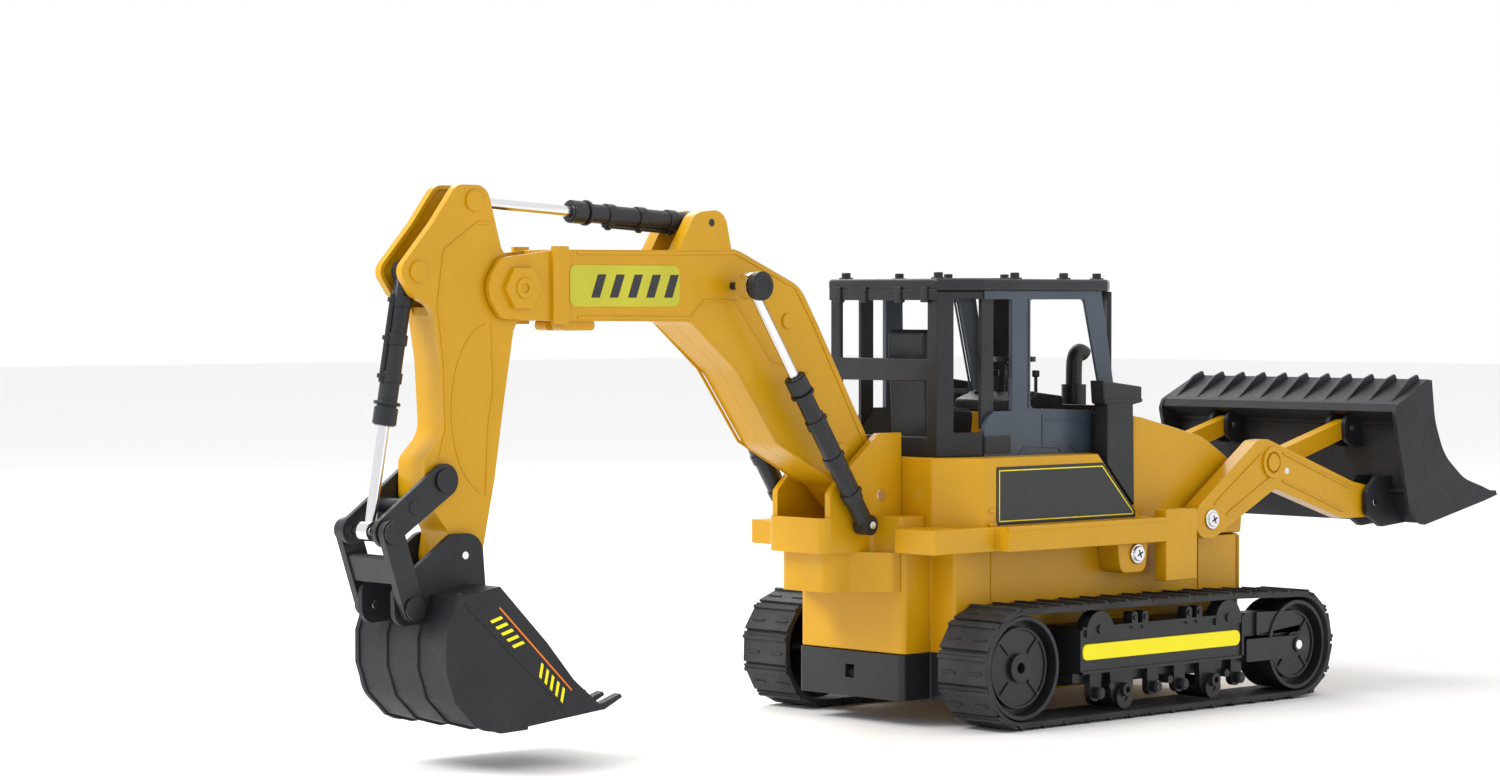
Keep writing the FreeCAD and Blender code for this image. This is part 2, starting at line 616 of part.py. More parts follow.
BOOM_SIDE = [(-379.5, 212, 12), (-370, 225, 4), (-337, 229), (-262, 229.5), (-229, 230.5, 20),
             (-187, 213, 20), (-176, 196, 14), (-134, 127, 8), (-128, 110, 9), (-142, 100, 9),
             (-158, 116, 8), (-200, 137, 20), (-226, 172, 30), (-258, 196.5, 12), (-337, 197),
             (-370, 198, 6)]
LUG = [(-266, 228), (-254, 247, 8), (-236, 249, 8), (-231, 228)]


def make_shell(name, points, half, wall, holes, extra=()):
    """Two moulded halves that meet on the centre plane, each hollow towards the other."""
    for side in SIDES:
        shell = new_body(f"{name}_{side}")
        low, high = across(side, "0", half)
        slab(shell, points, low, high, holes=holes)
        for outline in extra:
            slab(shell, outline, low, high)
        inner_low, inner_high = across(side, "0", f"{half} - {wall}")
        slab(shell, inset(points, size(wall)), inner_low, inner_high, cut=True)
        yield side, shell


boom_holes = [(BOOM_PIVOT, "pin_radius + running_gap"), (STICK_PIVOT, "pin_radius"),
              (BOOM_CYLINDER_HEAD, "small_pin_radius")]
for side_name, shell in make_shell("boom", BOOM_SIDE, "boom_half", "shell", boom_holes):
    low, high = across(side_name, "boom_lug_inner", "boom_half")
    slab(shell, LUG, low, high, holes=[(STICK_CYLINDER_FOOT, "small_pin_radius")])
    low, high = across(side_name, "0", "fork_inner")
    slab(shell, [(-385, 190), (-338, 190), (-338, 235), (-385, 235)], low, high, cut=True)
    low, high = across(side_name, "boom_half", "boom_half + fork_boss")
    disc(shell, STICK_PIVOT, "fork_boss_radius", low, high, bore="pin_radius")
    slab(shell, [(-341.5, 195.5), (-332.5, 195.5), (-332.5, 230.5), (-341.5, 230.5)], low, high)
    finish(shell, "boom_shell_" + side_name)

knobs = []
for side_name in SIDES:
    low, high = across(side_name, "head_knob_inner", "head_knob_outer")
    knobs.append(rod("knob_" + side_name, BOOM_CYLINDER_HEAD, "head_knob_radius", low, high))
knob_pin = rod("boom_cylinder_pin", BOOM_CYLINDER_HEAD, "small_pin_radius",
               "-1 * head_knob_inner", "head_knob_inner")
group("boom_pins", [
    fused("boom_head_pin", [knob_pin] + knobs),
    rod("stick_pivot_pin", STICK_PIVOT, "pin_radius",
        "-1 * boom_half - fork_boss", "boom_half + fork_boss"),
    rod("stick_foot_pin", STICK_CYLINDER_FOOT, "small_pin_radius", "-1 * boom_half", "boom_half")])

# ---------------------------------------------------------------- stick

STICK_SIDE = [(-392, 257, 7), (-375, 257, 8), (-366, 226, 8), (-346, 222, 10), (-347, 200, 11),
              (-359, 199, 10), (-366, 159, 30), (-371, 127, 20), (-380, 85, 10), (-401, 86, 9),
              (-397, 105, 6), (-410, 120, 5), (-410, 137, 6), (-399, 148, 12), (-401, 180, 30),
              (-405, 203, 10), (-416, 208, 6), (-424, 219, 6), (-405, 240, 8)]
RAM_SLOT = [(-430, 196), (-404.5, 196), (-404.5, 228), (-396, 240), (-372, 240), (-366, 236),
            (-366, 262), (-430, 262)]
stick_holes = [(STICK_PIVOT, "pin_radius + running_gap"), (ROCKER_PIVOT, "small_pin_radius"),
               (SCOOP_PIVOT, "small_pin_radius"), (SCOOP_CYLINDER_FOOT, "small_pin_radius"),
               (STICK_CYLINDER_HEAD, "small_pin_radius")]
for side_name, shell in make_shell("stick", STICK_SIDE, "stick_half", "shell", stick_holes):
    low, high = across(side_name, "0", "stick_slot")
    slab(shell, RAM_SLOT, low, high, cut=True)
    finish(shell, "stick_shell_" + side_name)

stick_pins = []
for name, centre in (("rocker_pivot", ROCKER_PIVOT), ("scoop_pivot", SCOOP_PIVOT)):
    stick_pins.append(rod(name + "_pin", centre, "small_pin_radius",
                          "-1 * stick_pin_half", "stick_pin_half"))
for side_name in SIDES:
    for name, centre in (("rod_stub", STICK_CYLINDER_HEAD), ("barrel_stub", SCOOP_CYLINDER_FOOT)):
        stub = rod(f"{name}_{side_name}", centre, "small_pin_radius",
                   *across(side_name, "stub_inner", "stick_half"))
        stick_pins.append(stub)
group("stick_pins", stick_pins)


# ---------------------------------------------------------------- cylinders

def unit(start, end):
    length = math.dist(start, end)
    return (end[0] - start[0]) / length, (end[1] - start[1]) / length


def along(start, end, distance):
    u = unit(start, end)
    return start[0] + u[0] * distance, start[1] + u[1] * distance


def turned(name, start, end, radius, y_expression):
    """Round primitive between two points of a plane at one Y."""
    part = doc.addObject("Part::Cylinder", name)
    bind(part, "Radius", radius)
    part.Height = math.dist(start, end)
    direction = Vector(end[0] - start[0], 0, end[1] - start[1])
    part.Placement = FreeCAD.Placement(Vector(start[0], size(y_expression), start[1]),
                                       FreeCAD.Rotation(Vector(0, 0, 1), direction))
    bind(part, "Placement.Base.y", y_expression)
    return part


def cut(name, base, tools):
    body = base
    for index, tool in enumerate(tools):
        difference = doc.addObject("Part::Cut", f"{name}_cut_{index}")
        difference.Base, difference.Tool = body, tool
        body = difference
    return body


def make_cylinder(name, foot, head, barrel_length, rod_start, centre_y, head_bore=None):
    """Ram drawn from its foot eye: a bored barrel, and a rod that slides in it to the head eye."""
    tube_start, bore_start, rod_end = 3.0, 6.5, math.dist(foot, head) - 3.0
    mouth = along(foot, head, barrel_length)
    low, high = f"{centre_y} - ram_eye_half", f"{centre_y} + ram_eye_half"
    tube = turned(name + "_tube", along(foot, head, tube_start), mouth, "barrel_radius", centre_y)
    foot_eye = rod(name + "_foot_eye", foot, "ram_eye_radius", low, high)
    barrel = fused(name + "_barrel_solid", [tube, foot_eye])
    bore = turned(name + "_bore", along(foot, head, bore_start), along(foot, head, barrel_length + 1),
                  "barrel_bore", centre_y)
    eye_bore = rod(name + "_foot_bore", foot, "small_pin_radius + running_gap",
                   f"{low} - 1", f"{high} + 1")
    group(name + "_barrel", [cut(name + "_barrel", barrel, [bore, eye_bore])])

    shaft = turned(name + "_shaft", along(foot, head, rod_start), along(foot, head, rod_end),
                   "rod_radius", centre_y)
    ring = rod(name + "_head_eye", head, "wide_head_eye" if head_bore else "head_eye", low, high)
    solid = fused(name + "_rod_solid", [shaft, ring])
    if head_bore:
        solid = cut(name + "_rod", solid,
                    [rod(name + "_head_bore", head, head_bore, f"{low} - 1", f"{high} + 1")])
    group(name + "_rod", [solid])


for side_name, ram_y in (("right", "-1 * cylinder_y"), ("left", "cylinder_y")):
    make_cylinder("boom_ram_" + side_name, BOOM_CYLINDER_FOOT, BOOM_CYLINDER_HEAD, 86.0, 52.0,
                  ram_y, "small_pin_radius + head_eye_play")
make_cylinder("stick_ram", STICK_CYLINDER_FOOT, STICK_CYLINDER_HEAD, 76.0, 56.0, "0")
make_cylinder("scoop_ram", SCOOP_CYLINDER_FOOT, LINK_TOP, 68.0, 48.0, "0")

# ---------------------------------------------------------------- scoop linkage

rocker = new_body("rocker")
for low, high in (("rocker_inner", "rocker_outer"), ("-1 * rocker_outer", "-1 * rocker_inner")):
    slab(rocker, bar(LINK_TOP, ROCKER_PIVOT, 6.5, 7.5), low, high,
         holes=[(ROCKER_PIVOT, "small_pin_radius + running_gap"), (LINK_TOP, "small_pin_radius")])
BRACE = ((ROCKER_PIVOT[0] + LINK_TOP[0]) / 2 - 1, (ROCKER_PIVOT[1] + LINK_TOP[1]) / 2)
disc(rocker, BRACE, "brace_radius", "-1 * rocker_outer", "rocker_outer")
finish(rocker, "rocker")
group("rocker_link_pins", [
    rod("link_top_pin_" + side_name, LINK_TOP, "small_pin_radius",
        *across(side_name, "top_pin_inner", "link_pin_outer")) for side_name in SIDES])

link = new_body("scoop_link")
for low, high in (("link_inner", "link_outer"), ("-1 * link_outer", "-1 * link_inner")):
    slab(link, bar(LINK_TOP, LINK_FOOT, 5.6, 5.6), low, high,
         holes=[(LINK_TOP, "small_pin_radius + running_gap"),
                (LINK_FOOT, "small_pin_radius + running_gap")])
WEB_START, WEB_END = 11.0, 21.0        # along the link from its top pin
WEB_OFFSET, WEB_HALF = 3.2, 1.6        # the web stands behind the link's middle line
link_way = unit(LINK_TOP, LINK_FOOT)
web = [(x + link_way[1] * WEB_OFFSET, z - link_way[0] * WEB_OFFSET)
       for x, z in (along(LINK_TOP, LINK_FOOT, WEB_START), along(LINK_TOP, LINK_FOOT, WEB_END))]
slab(link, bar(*web, WEB_HALF, WEB_HALF), "-1 * link_outer", "link_outer")
finish(link, "scoop_link")

SCOOP_BACK = [(-387, 81.7), (-410, 78.3), (-415.5, 60), (-415.5, 46), (-411, 33), (-400.4, 22.5),
              (-387, 18.8), (-371.6, 19.3), (-344, 23.0), (-327, 23.6)]
SCOOP_SIDE = [(-387, 81.7), (-410, 78.3, 3), (-416, 58, 20), (-413, 33, 16), (-396, 18.6, 14),
              (-371.6, 19.3, 20), (-327, 23.6), (-345, 38), (-360.3, 55.4)]
SCOOP_EAR = [(-379, 80), (-381, 104, 9), (-398, 104, 8), (-429.5, 82, 7), (-429, 65, 6), (-413, 66),
             (-409, 78)]
TOOTH = [(-345, 22.9), (-327, 23.4), (-316.6, 28.2), (-317.5, 29.8), (-328, 26.4), (-345, 25.2)]
TOOTH_COUNT, TOOTH_PITCH = 6, 12.2
scoop = new_body("scoop")
slab(scoop, band(SCOOP_BACK, size("scoop_wall")), "-1 * scoop_half", "scoop_half")
for side_name in SIDES:
    slab(scoop, SCOOP_SIDE, *across(side_name, "scoop_half - scoop_wall", "scoop_half"))
    slab(scoop, SCOOP_EAR, *across(side_name, "rocker_inner", "rocker_outer"),
         holes=[(SCOOP_PIVOT, "small_pin_radius + running_gap"), (LINK_FOOT, "small_pin_radius")])
for index in range(TOOTH_COUNT):
    y = TOOTH_PITCH * (index - (TOOTH_COUNT - 1) / 2)
    slab(scoop, TOOTH, f"{y:.1f} - tooth_half", f"{y:.1f} + tooth_half")
finish(scoop, "scoop")
group("scoop_link_pins", [
    rod("link_foot_pin_" + side_name, LINK_FOOT, "small_pin_radius",
        *across(side_name, "rocker_inner", "link_pin_outer")) for side_name in SIDES])

# ---------------------------------------------------------------- loader

ARM_SIDE = [(46, 85, 8), (60, 84, 4), (110, 108, 5), (168, 90, 8), (197, 90, 7), (199, 105, 7),
            (176, 109.5, 4), (104, 134, 6), (95, 133.5, 6), (46, 100, 8)]
for side_name in SIDES:
    low, high = across(side_name, "arm_inner", "arm_outer")
    arm = new_body("loader_arm_" + side_name)
    slab(arm, ARM_SIDE, low, high,
         holes=[(LOADER_PIVOT, "pin_radius + running_gap"), (LOADER_PIN, "small_pin_radius"),
                (CROSS_ROD, "small_pin_radius")])
    collect("loader_arms", arm)
arm_pins = [rod("arm_cross_rod", CROSS_ROD, "small_pin_radius", "-1 * arm_outer", "arm_outer")]
arm_pins += [rod("loader_pin_" + side_name, LOADER_PIN, "small_pin_radius",
                 *across(side_name, "loader_pin_inner", "loader_pin_outer")) for side_name in SIDES]
group("loader_arm_pins", arm_pins)

LOADER_BACK = [(217.7, 164), (190, 151), (188.2, 147), (204, 141), (206, 100), (215, 86.2),
               (268.8, 96.6), (281, 99.6)]
LOADER_SIDE = [(219.7, 164.2, 1), (189.5, 151, 3), (186.9, 146, 4), (199.6, 96, 10), (212, 85, 6),
               (268.8, 96.6), (281, 99.6), (266, 104.6), (249.3, 109.4, 30), (230.9, 123, 30),
               (222.6, 141.7, 40)]
GUSSET = [(190, 150.4), (217.7, 163.6), (216, 166.4), (209, 164)]
GUSSET_COUNT, GUSSET_PITCH = 11, 15.0
LOW_LUG = [(183, 92, 5), (196, 84.5, 3), (216, 86), (207.5, 100), (206.5, 112), (192, 112, 4),
           (183, 104, 5)]
HIGH_LUG = [(190, 130, 5), (199, 127, 3), (206.3, 127), (205.6, 141), (200, 146), (194, 145.4, 3),
            (189, 142, 5)]
LOW_LUG_WALL, HIGH_LUG_WALL = 2.9, 2.4
loader = new_body("loader_bucket")
slab(loader, band(LOADER_BACK, size("loader_wall")), "-1 * loader_half + 1", "loader_half - 1")
for index in range(GUSSET_COUNT):
    y = GUSSET_PITCH * (index - (GUSSET_COUNT - 1) / 2)
    slab(loader, GUSSET, f"{y:.0f} - gusset_half", f"{y:.0f} + gusset_half")
for side_name in SIDES:
    slab(loader, LOADER_SIDE, *across(side_name, "loader_half - loader_wall", "loader_half"))
    for shape, pin, bore, wall, inner, outer in (
            (LOW_LUG, LOADER_PIN, "small_pin_radius + running_gap", LOW_LUG_WALL,
             "loader_pin_inner", "loader_pin_outer"),
            (HIGH_LUG, STRUT_PIN, "small_pin_radius", HIGH_LUG_WALL,
             "strut_pin_inner", "strut_pin_outer")):
        slab(loader, shape, *across(side_name, inner, f"{inner} + {wall}"), holes=[(pin, bore)])
        slab(loader, shape, *across(side_name, f"{outer} - {wall}", outer), holes=[(pin, bore)])
finish(loader, "loader_bucket")
group("strut_pins", [rod("strut_pin_" + side_name, STRUT_PIN, "small_pin_radius",
                         *across(side_name, "strut_pin_inner", "strut_pin_outer"))
                     for side_name in SIDES])

STRUT_LENGTH = math.dist(STRUT_PIN, CROSS_ROD)
SLOT_BEFORE, SLOT_BEYOND, STRUT_BEYOND = 7.0, 8.0, 8.6
SLOT_RADIUS = size("slot_radius")
STRUT_END = along(STRUT_PIN, CROSS_ROD, STRUT_LENGTH + STRUT_BEYOND)
SLOT_START = along(STRUT_PIN, CROSS_ROD, STRUT_LENGTH - SLOT_BEFORE)
SLOT_END = along(STRUT_PIN, CROSS_ROD, STRUT_LENGTH + SLOT_BEYOND)
for side_name in SIDES:
    low, high = across(side_name, "strut_inner", "strut_outer")
    strut = new_body("tilt_strut_" + side_name)
    slab(strut, bar(STRUT_PIN, STRUT_END, 4.6, 5.2), low, high,
         holes=[(STRUT_PIN, "small_pin_radius + running_gap")])
    slab(strut, bar(SLOT_START, SLOT_END, SLOT_RADIUS, SLOT_RADIUS), low, high, cut=True)
    collect("tilt_struts", strut)

for name, pieces in shared.items():
    group(name, pieces)

# ---------------------------------------------------------------- checks and files

doc.recompute()
for piece in doc.Objects:
    if {"Invalid", "Error"} & set(piece.State):
        raise RuntimeError(f"{piece.Label}: {piece.State}")
for piece in nodes:
    if piece.Shape.isNull() or not piece.Shape.isValid():
        raise RuntimeError(f"{piece.Label}: not a valid shape")

os.makedirs("parts", exist_ok=True)
for piece in nodes:
    piece.Shape.exportStep(f"parts/{piece.Label}.step")
print(len(nodes), "nodes written")
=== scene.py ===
import json
import math

import bmesh
import bpy
from mathutils import Matrix, Vector

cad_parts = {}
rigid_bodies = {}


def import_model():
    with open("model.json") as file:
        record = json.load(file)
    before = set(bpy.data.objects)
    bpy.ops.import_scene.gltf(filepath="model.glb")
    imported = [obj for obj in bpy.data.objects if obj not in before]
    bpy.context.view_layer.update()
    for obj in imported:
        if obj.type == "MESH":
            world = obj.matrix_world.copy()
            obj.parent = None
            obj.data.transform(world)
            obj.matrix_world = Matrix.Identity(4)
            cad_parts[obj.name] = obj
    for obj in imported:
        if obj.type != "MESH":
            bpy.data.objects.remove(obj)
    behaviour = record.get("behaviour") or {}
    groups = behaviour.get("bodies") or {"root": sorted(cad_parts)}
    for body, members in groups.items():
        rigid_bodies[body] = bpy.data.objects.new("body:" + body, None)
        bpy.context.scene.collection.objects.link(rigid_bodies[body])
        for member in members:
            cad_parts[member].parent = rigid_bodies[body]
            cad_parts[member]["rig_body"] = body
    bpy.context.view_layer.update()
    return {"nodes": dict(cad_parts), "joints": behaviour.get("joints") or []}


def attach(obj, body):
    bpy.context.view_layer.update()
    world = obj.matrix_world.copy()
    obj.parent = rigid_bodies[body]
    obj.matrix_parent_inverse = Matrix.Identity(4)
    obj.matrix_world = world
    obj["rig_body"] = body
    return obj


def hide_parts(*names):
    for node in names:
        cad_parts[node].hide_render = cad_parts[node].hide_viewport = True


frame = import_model()

# ---------------------------------------------------------------- studio
# A pale paper floor, three soft lights and the camera. The toy stands on its two tracks, and
# the camera looks at its right rear quarter from low down.

joint = {j["name"]: j for j in frame["joints"]}
nodes = frame["nodes"]
REAR_AXLE_X = -105.0               # drive axle, from the middle of the tracks, in millimetres
datum = joint["drive_right_spin"]["pos_m"][0] - REAR_AXLE_X / 1000


def spot(x, y, z):
    """Millimetres from the middle of the tracks, on the ground, to metres in the frame."""
    return Vector((datum + x / 1000, y / 1000, z / 1000))


def pivot(name):
    """A joint's axle as (x, z), in the same millimetres that spot() takes."""
    x, _, z = joint[name]["pos_m"]
    return Vector(((x - datum) * 1000, z * 1000))


def keep(name, data):
    """A new object in the scene, unturned and unscaled."""
    piece = bpy.data.objects.new(name, data)
    bpy.context.scene.collection.objects.link(piece)
    return piece


floor_mesh = bpy.data.meshes.new("floor")
FLOOR_HALF = 9.0                   # metres
floor_mesh.from_pydata([(FLOOR_HALF * u, FLOOR_HALF * v, 0) for u, v in ((-1, -1), (1, -1), (1, 1), (-1, 1))],
                       [], [(0, 1, 2, 3)])
paper = bpy.data.materials.new("studio_paper")
paper.use_nodes = True
paper_shader = paper.node_tree.nodes["Principled BSDF"]
paper_shader.inputs["Base Color"].default_value = (0.9, 0.9, 0.9, 1)
paper_shader.inputs["Roughness"].default_value = 0.9
floor_mesh.materials.append(paper)
keep("floor", floor_mesh)

camera_data = bpy.data.cameras.new("camera")
camera_data.lens = 85.2
camera_data.sensor_width = 36.0
camera_data.clip_end = 30.0
camera = keep("camera", camera_data)
camera.location = spot(-1358.9, -1234.6, 204.1)
camera.rotation_euler = (math.radians(90 - 1.37), 0, math.radians(-43))
bpy.context.scene.camera = camera

world = bpy.data.worlds.new("studio")
world.use_nodes = True
sky = world.node_tree.nodes["Background"]
sky.inputs["Color"].default_value = (1.0, 1.0, 1.0, 1)
sky.inputs["Strength"].default_value = 1.0
bpy.context.scene.world = world
bpy.context.scene.view_settings.view_transform = "Standard"           # keeps the plastics' full colour
# Each light: its place and width in metres, and its power in watts.
for name, place, width, power in (("key", (-1.5, 0.5, 1.6), 0.9, 34), ("fill", (0.9, -1.9, 0.9), 1.4, 3),
                                  ("back", (0.6, 1.6, 1.5), 1.2, 14)):
    light = bpy.data.lights.new(name, "AREA")
    light.size = width
    light.energy = power
    lamp = keep(name, light)
    lamp.location = place
    lamp.rotation_euler = (spot(-80, 0, 110) - lamp.location).to_track_quat("-Z", "Y").to_euler()

# ---------------------------------------------------------------- yellow body
# Hull, deck, fenders, hood and boom bracket are thin ABS mouldings in one warm yellow. They
# snap and screw together, and their edges are slightly rounded by the mould.


def finish_of(name, colour, rough, grain_depth, grain_scale, metal=0.0, coat=0.0, mottling=0.05, wear=0.25):
    """Procedural finish: cloudy tone, fine grain as bump, and handling marks in the gloss."""
    material = bpy.data.materials.new(name)
    material.use_nodes = True
    tree = material.node_tree
    shader = tree.nodes["Principled BSDF"]
    shader.inputs["Metallic"].default_value = metal
    shader.inputs["Coat Weight"].default_value = coat
    shader.inputs["Specular IOR Level"].default_value = 0.3
    shader.inputs["Coat Roughness"].default_value = 0.16
    place = tree.nodes.new("ShaderNodeTexCoord")

    def noise(scale, detail, roughness=0.5):
        texture = tree.nodes.new("ShaderNodeTexNoise")
        texture.inputs["Scale"].default_value = scale
        texture.inputs["Detail"].default_value = detail
        texture.inputs["Roughness"].default_value = roughness
        tree.links.new(place.outputs["Object"], texture.inputs["Vector"])
        return texture

    tone = tree.nodes.new("ShaderNodeValToRGB")
    low, high = tone.color_ramp.elements
    low.position, high.position = 0.35, 0.65
    low.color = tuple(c * (1 - mottling) for c in colour) + (1,)
    high.color = tuple(min(c * (1 + mottling), 1) for c in colour) + (1,)
    tree.links.new(noise(38, 3).outputs["Fac"], tone.inputs["Fac"])
    tree.links.new(tone.outputs["Color"], shader.inputs["Base Color"])

    gloss = tree.nodes.new("ShaderNodeMapRange")
    gloss.inputs["From Min"].default_value = 0.4
    gloss.inputs["From Max"].default_value = 0.7
    gloss.inputs["To Min"].default_value = rough
    gloss.inputs["To Max"].default_value = min(rough * (1 + wear), 1)
    tree.links.new(noise(420, 5, 0.7).outputs["Fac"], gloss.inputs["Value"])
    tree.links.new(gloss.outputs["Result"], shader.inputs["Roughness"])

    bump = tree.nodes.new("ShaderNodeBump")
    bump.inputs["Strength"].default_value = 0.6
    bump.inputs["Distance"].default_value = grain_depth
    tree.links.new(noise(grain_scale, 2).outputs["Fac"], bump.inputs["Height"])
    tree.links.new(bump.outputs["Normal"], shader.inputs["Normal"])
    return material


def settle(name, mesh, material, body, stands_for=(), bevel=0.0, steps=2, angle=32):
    """Make a mesh a finished piece: its finish, smooth faces, rounded edges, body, and the CAD parts it
    stands for hidden.
    """
    mesh.materials.clear()
    mesh.materials.append(material)
    mesh.polygons.foreach_set("use_smooth", [True] * len(mesh.polygons))
    mesh.set_sharp_from_angle(angle=math.radians(angle))
    piece = keep(name, mesh)
    if bevel:
        edge = piece.modifiers.new("edge", "BEVEL")
        edge.width = bevel / 1000
        edge.segments = steps
        edge.limit_method = "ANGLE"
        edge.angle_limit = math.radians(angle)
        edge.harden_normals = True
    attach(piece, body)
    if stands_for:
        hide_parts(*stands_for)
    return piece


def refined(node, material, bevel=0.5, steps=2):
    """The CAD piece again with its flat faces whole and its edges rounded as moulded."""
    form = bmesh.new()
    form.from_mesh(nodes[node].data)
    bmesh.ops.remove_doubles(form, verts=form.verts, dist=0.00001)
    bmesh.ops.dissolve_limit(form, angle_limit=math.radians(0.6), verts=form.verts, edges=form.edges)
    mesh = bpy.data.meshes.new(node)
    form.to_mesh(mesh)
    form.free()
    return settle("moulded_" + node, mesh, material, nodes[node]["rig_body"], [node], bevel, steps)


def prism(form, outline, low, high, axis="Y"):
    """Add a closed prism: an outline in millimetres, from low to high along an axis."""
    def point(u, v, w):
        return spot(u, w, v) if axis == "Y" else spot(u, v, w)
    near = [form.verts.new(point(p[0], p[1], low)) for p in outline]
    far = [form.verts.new(point(p[0], p[1], high)) for p in outline]
    made = [form.faces.new(near), form.faces.new(list(reversed(far)))]
    for i in range(len(near)):
        j = (i + 1) % len(near)
        made.append(form.faces.new((near[j], near[i], far[i], far[j])))
    bmesh.ops.recalc_face_normals(form, faces=made)


def rounded(points, steps=5):
    """Outline of (u, v) or (u, v, corner radius) points, its corners as short chords."""
    line = []
    for i, point in enumerate(points):
        corner = Vector(point[:2])
        if len(point) < 3 or point[2] <= 0:
            line.append(corner)
            continue
        a = (Vector(points[i - 1][:2]) - corner).normalized()
        b = (Vector(points[(i + 1) % len(points)][:2]) - corner).normalized()
        half = a.angle(b) / 2
        centre = corner + (a + b).normalized() * (point[2] / math.sin(half))
        first = corner + a * (point[2] / math.tan(half)) - centre
        last = corner + b * (point[2] / math.tan(half)) - centre
        sweep = first.angle(last) * (1 if first.cross(last) > 0 else -1)
        for step in range(steps + 1):
            line.append(centre + Matrix.Rotation(sweep * step / steps, 2) @ first)
    return line


def plate(u0, v0, u1, v1, radius=0.0):
    """Outline of a rectangle with rounded corners."""
    return rounded([(u0, v0, radius), (u1, v0, radius), (u1, v1, radius), (u0, v1, radius)])


def finished(name, form, material, body, stands_for=(), bevel=0.0, steps=2, angle=32):
    """Turn a form into a mesh and settle it as a piece."""
    mesh = bpy.data.meshes.new(name)
    form.to_mesh(mesh)
    form.free()
    return settle(name, mesh, material, body, stands_for, bevel, steps, angle)


SIDES = (("right", -1), ("left", 1))
yellow = finish_of("yellow_abs", (0.56, 0.29, 0.003), 0.30, 0.00003, 1400, coat=0.08, mottling=0.03)
for node, bevel in (("lower_hull", 0.8), ("upper_body", 0.9), ("fenders", 0.6), ("hood", 1.0),
                    ("boom_bracket", 0.7), ("cab_tub", 0.6), ("screw_bosses", 0.6)):
    refined(node, yellow, bevel)
for side, y in SIDES:
    trim = bmesh.new()
    for low, high, face in ((103.5, 105.5, 60.8), (97, 99, 61.6)):     # stepped ledge of the deck
        prism(trim, plate(-106, low, -101.5, high, 0.6), y * 59.6, y * face)
    prism(trim, plate(-104, 95.2, 11.6, 97.4, 0.6), y * 70.4, y * 72.3)
    prism(trim, plate(-116, 104, -109.5, 128, 1), y * 41, y * 44)
    for x in (-96, 60, 92):
        prism(trim, plate(x, 56, x + 1.6, 84, 0.3), y * 51.8, y * 52.7)
    finished(f"body_trim_{side}", trim, yellow, "chassis", bevel=0.4)

# ---------------------------------------------------------------- side panels
# A black foil panel with a slanted front edge is stuck on each side of the deck. It is plain,
# with a fine yellow line round it.


def bead(form, points, width, low, high):
    """Add a raised line along open points: one closed strip, mitred at its bends."""
    line = [Vector(p) for p in points]
    ways = [(b - a).normalized() for a, b in zip(line, line[1:])]
    sides = []
    for i, place in enumerate(line):
        one, two = ways[max(i - 1, 0)], ways[min(i, len(ways) - 1)]
        normal = Vector((-(one + two).y, (one + two).x)).normalized()
        sides.append(normal * (width / 2 / normal.dot(Vector((-one.y, one.x)))))
    pairs = list(zip(line, sides))
    prism(form, [p + s for p, s in pairs] + [p - s for p, s in reversed(pairs)], low, high)


black_foil = finish_of("black_foil", (0.010, 0.010, 0.012), 0.24, 0.00001, 900, coat=0.4)
yellow_ink = finish_of("yellow_ink", (0.90, 0.78, 0.004), 0.35, 0.00001, 900, mottling=0.02)
for side, y in SIDES:
    foil = bmesh.new()
    prism(foil, rounded([(-100.5, 97.4, 0.5), (1.6, 97.4, 0.5), (1.6, 100.4, 0.5), (-23, 125.6, 0.5),
                         (-100.5, 125.6, 0.5)]), y * 60.0, y * 60.3)
    finished(f"side_panel_{side}", foil, black_foil, "chassis")
    line = bmesh.new()
    edge = [(-98.6, 99.2), (-0.4, 99.2), (-0.4, 100.2), (-23.6, 123.8), (-98.6, 123.8), (-98.6, 99.2)]
    bead(line, edge, 0.5, y * 60.25, y * 60.42)
    finished(f"side_panel_line_{side}", line, yellow_ink, "chassis")

# ---------------------------------------------------------------- battery case and insides
# The black battery case closes the rear of the hull. Motors, gearboxes, cells and the board
# sit inside and are only seen through gaps.

black = finish_of("black_abs", (0.013, 0.014, 0.016), 0.36, 0.00008, 1800, mottling=0.25, coat=0.15)
refined("battery_case", black, 0.7)
refined("power_switch", black, 0.4)
inner_grey = finish_of("inner_grey", (0.30, 0.30, 0.31), 0.5, 0.00003, 900)
board_green = finish_of("board_green", (0.02, 0.16, 0.05), 0.4, 0.00003, 900)
for node in ("arm_motors", "drive_gearboxes", "battery_pack"):
    refined(node, inner_grey, 0.4)
refined("receiver_board", board_green, 0.4)

# ---------------------------------------------------------------- wheels
# Drive and idler wheels are black mouldings: a deep rim, a raised disc with four ribs at
# forty-five degrees, and a hub with a hole for the axle.


def sleeve(form, loops):
    """Join four loops of corners round into one closed sleeve."""
    made = []
    for k in range(4):
        one, two = loops[k], loops[(k + 1) % 4]
        for i in range(len(one)):
            j = (i + 1) % len(one)
            made.append(form.faces.new((one[i], one[j], two[j], two[i])))
    bmesh.ops.recalc_face_normals(form, faces=made)


def ring(form, u, v, outer, inner, low, high, axis="Y", steps=40):
    """Add a closed ring, from low to high along an axis."""
    def point(radius, index, w):
        angle = 2 * math.pi * index / steps
        a, b = u + radius * math.cos(angle), v + radius * math.sin(angle)
        return spot(a, w, b) if axis == "Y" else spot(a, b, w)
    sleeve(form, [[form.verts.new(point(radius, i, w)) for i in range(steps)]
                  for radius, w in ((outer, low), (outer, high), (inner, high), (inner, low))])


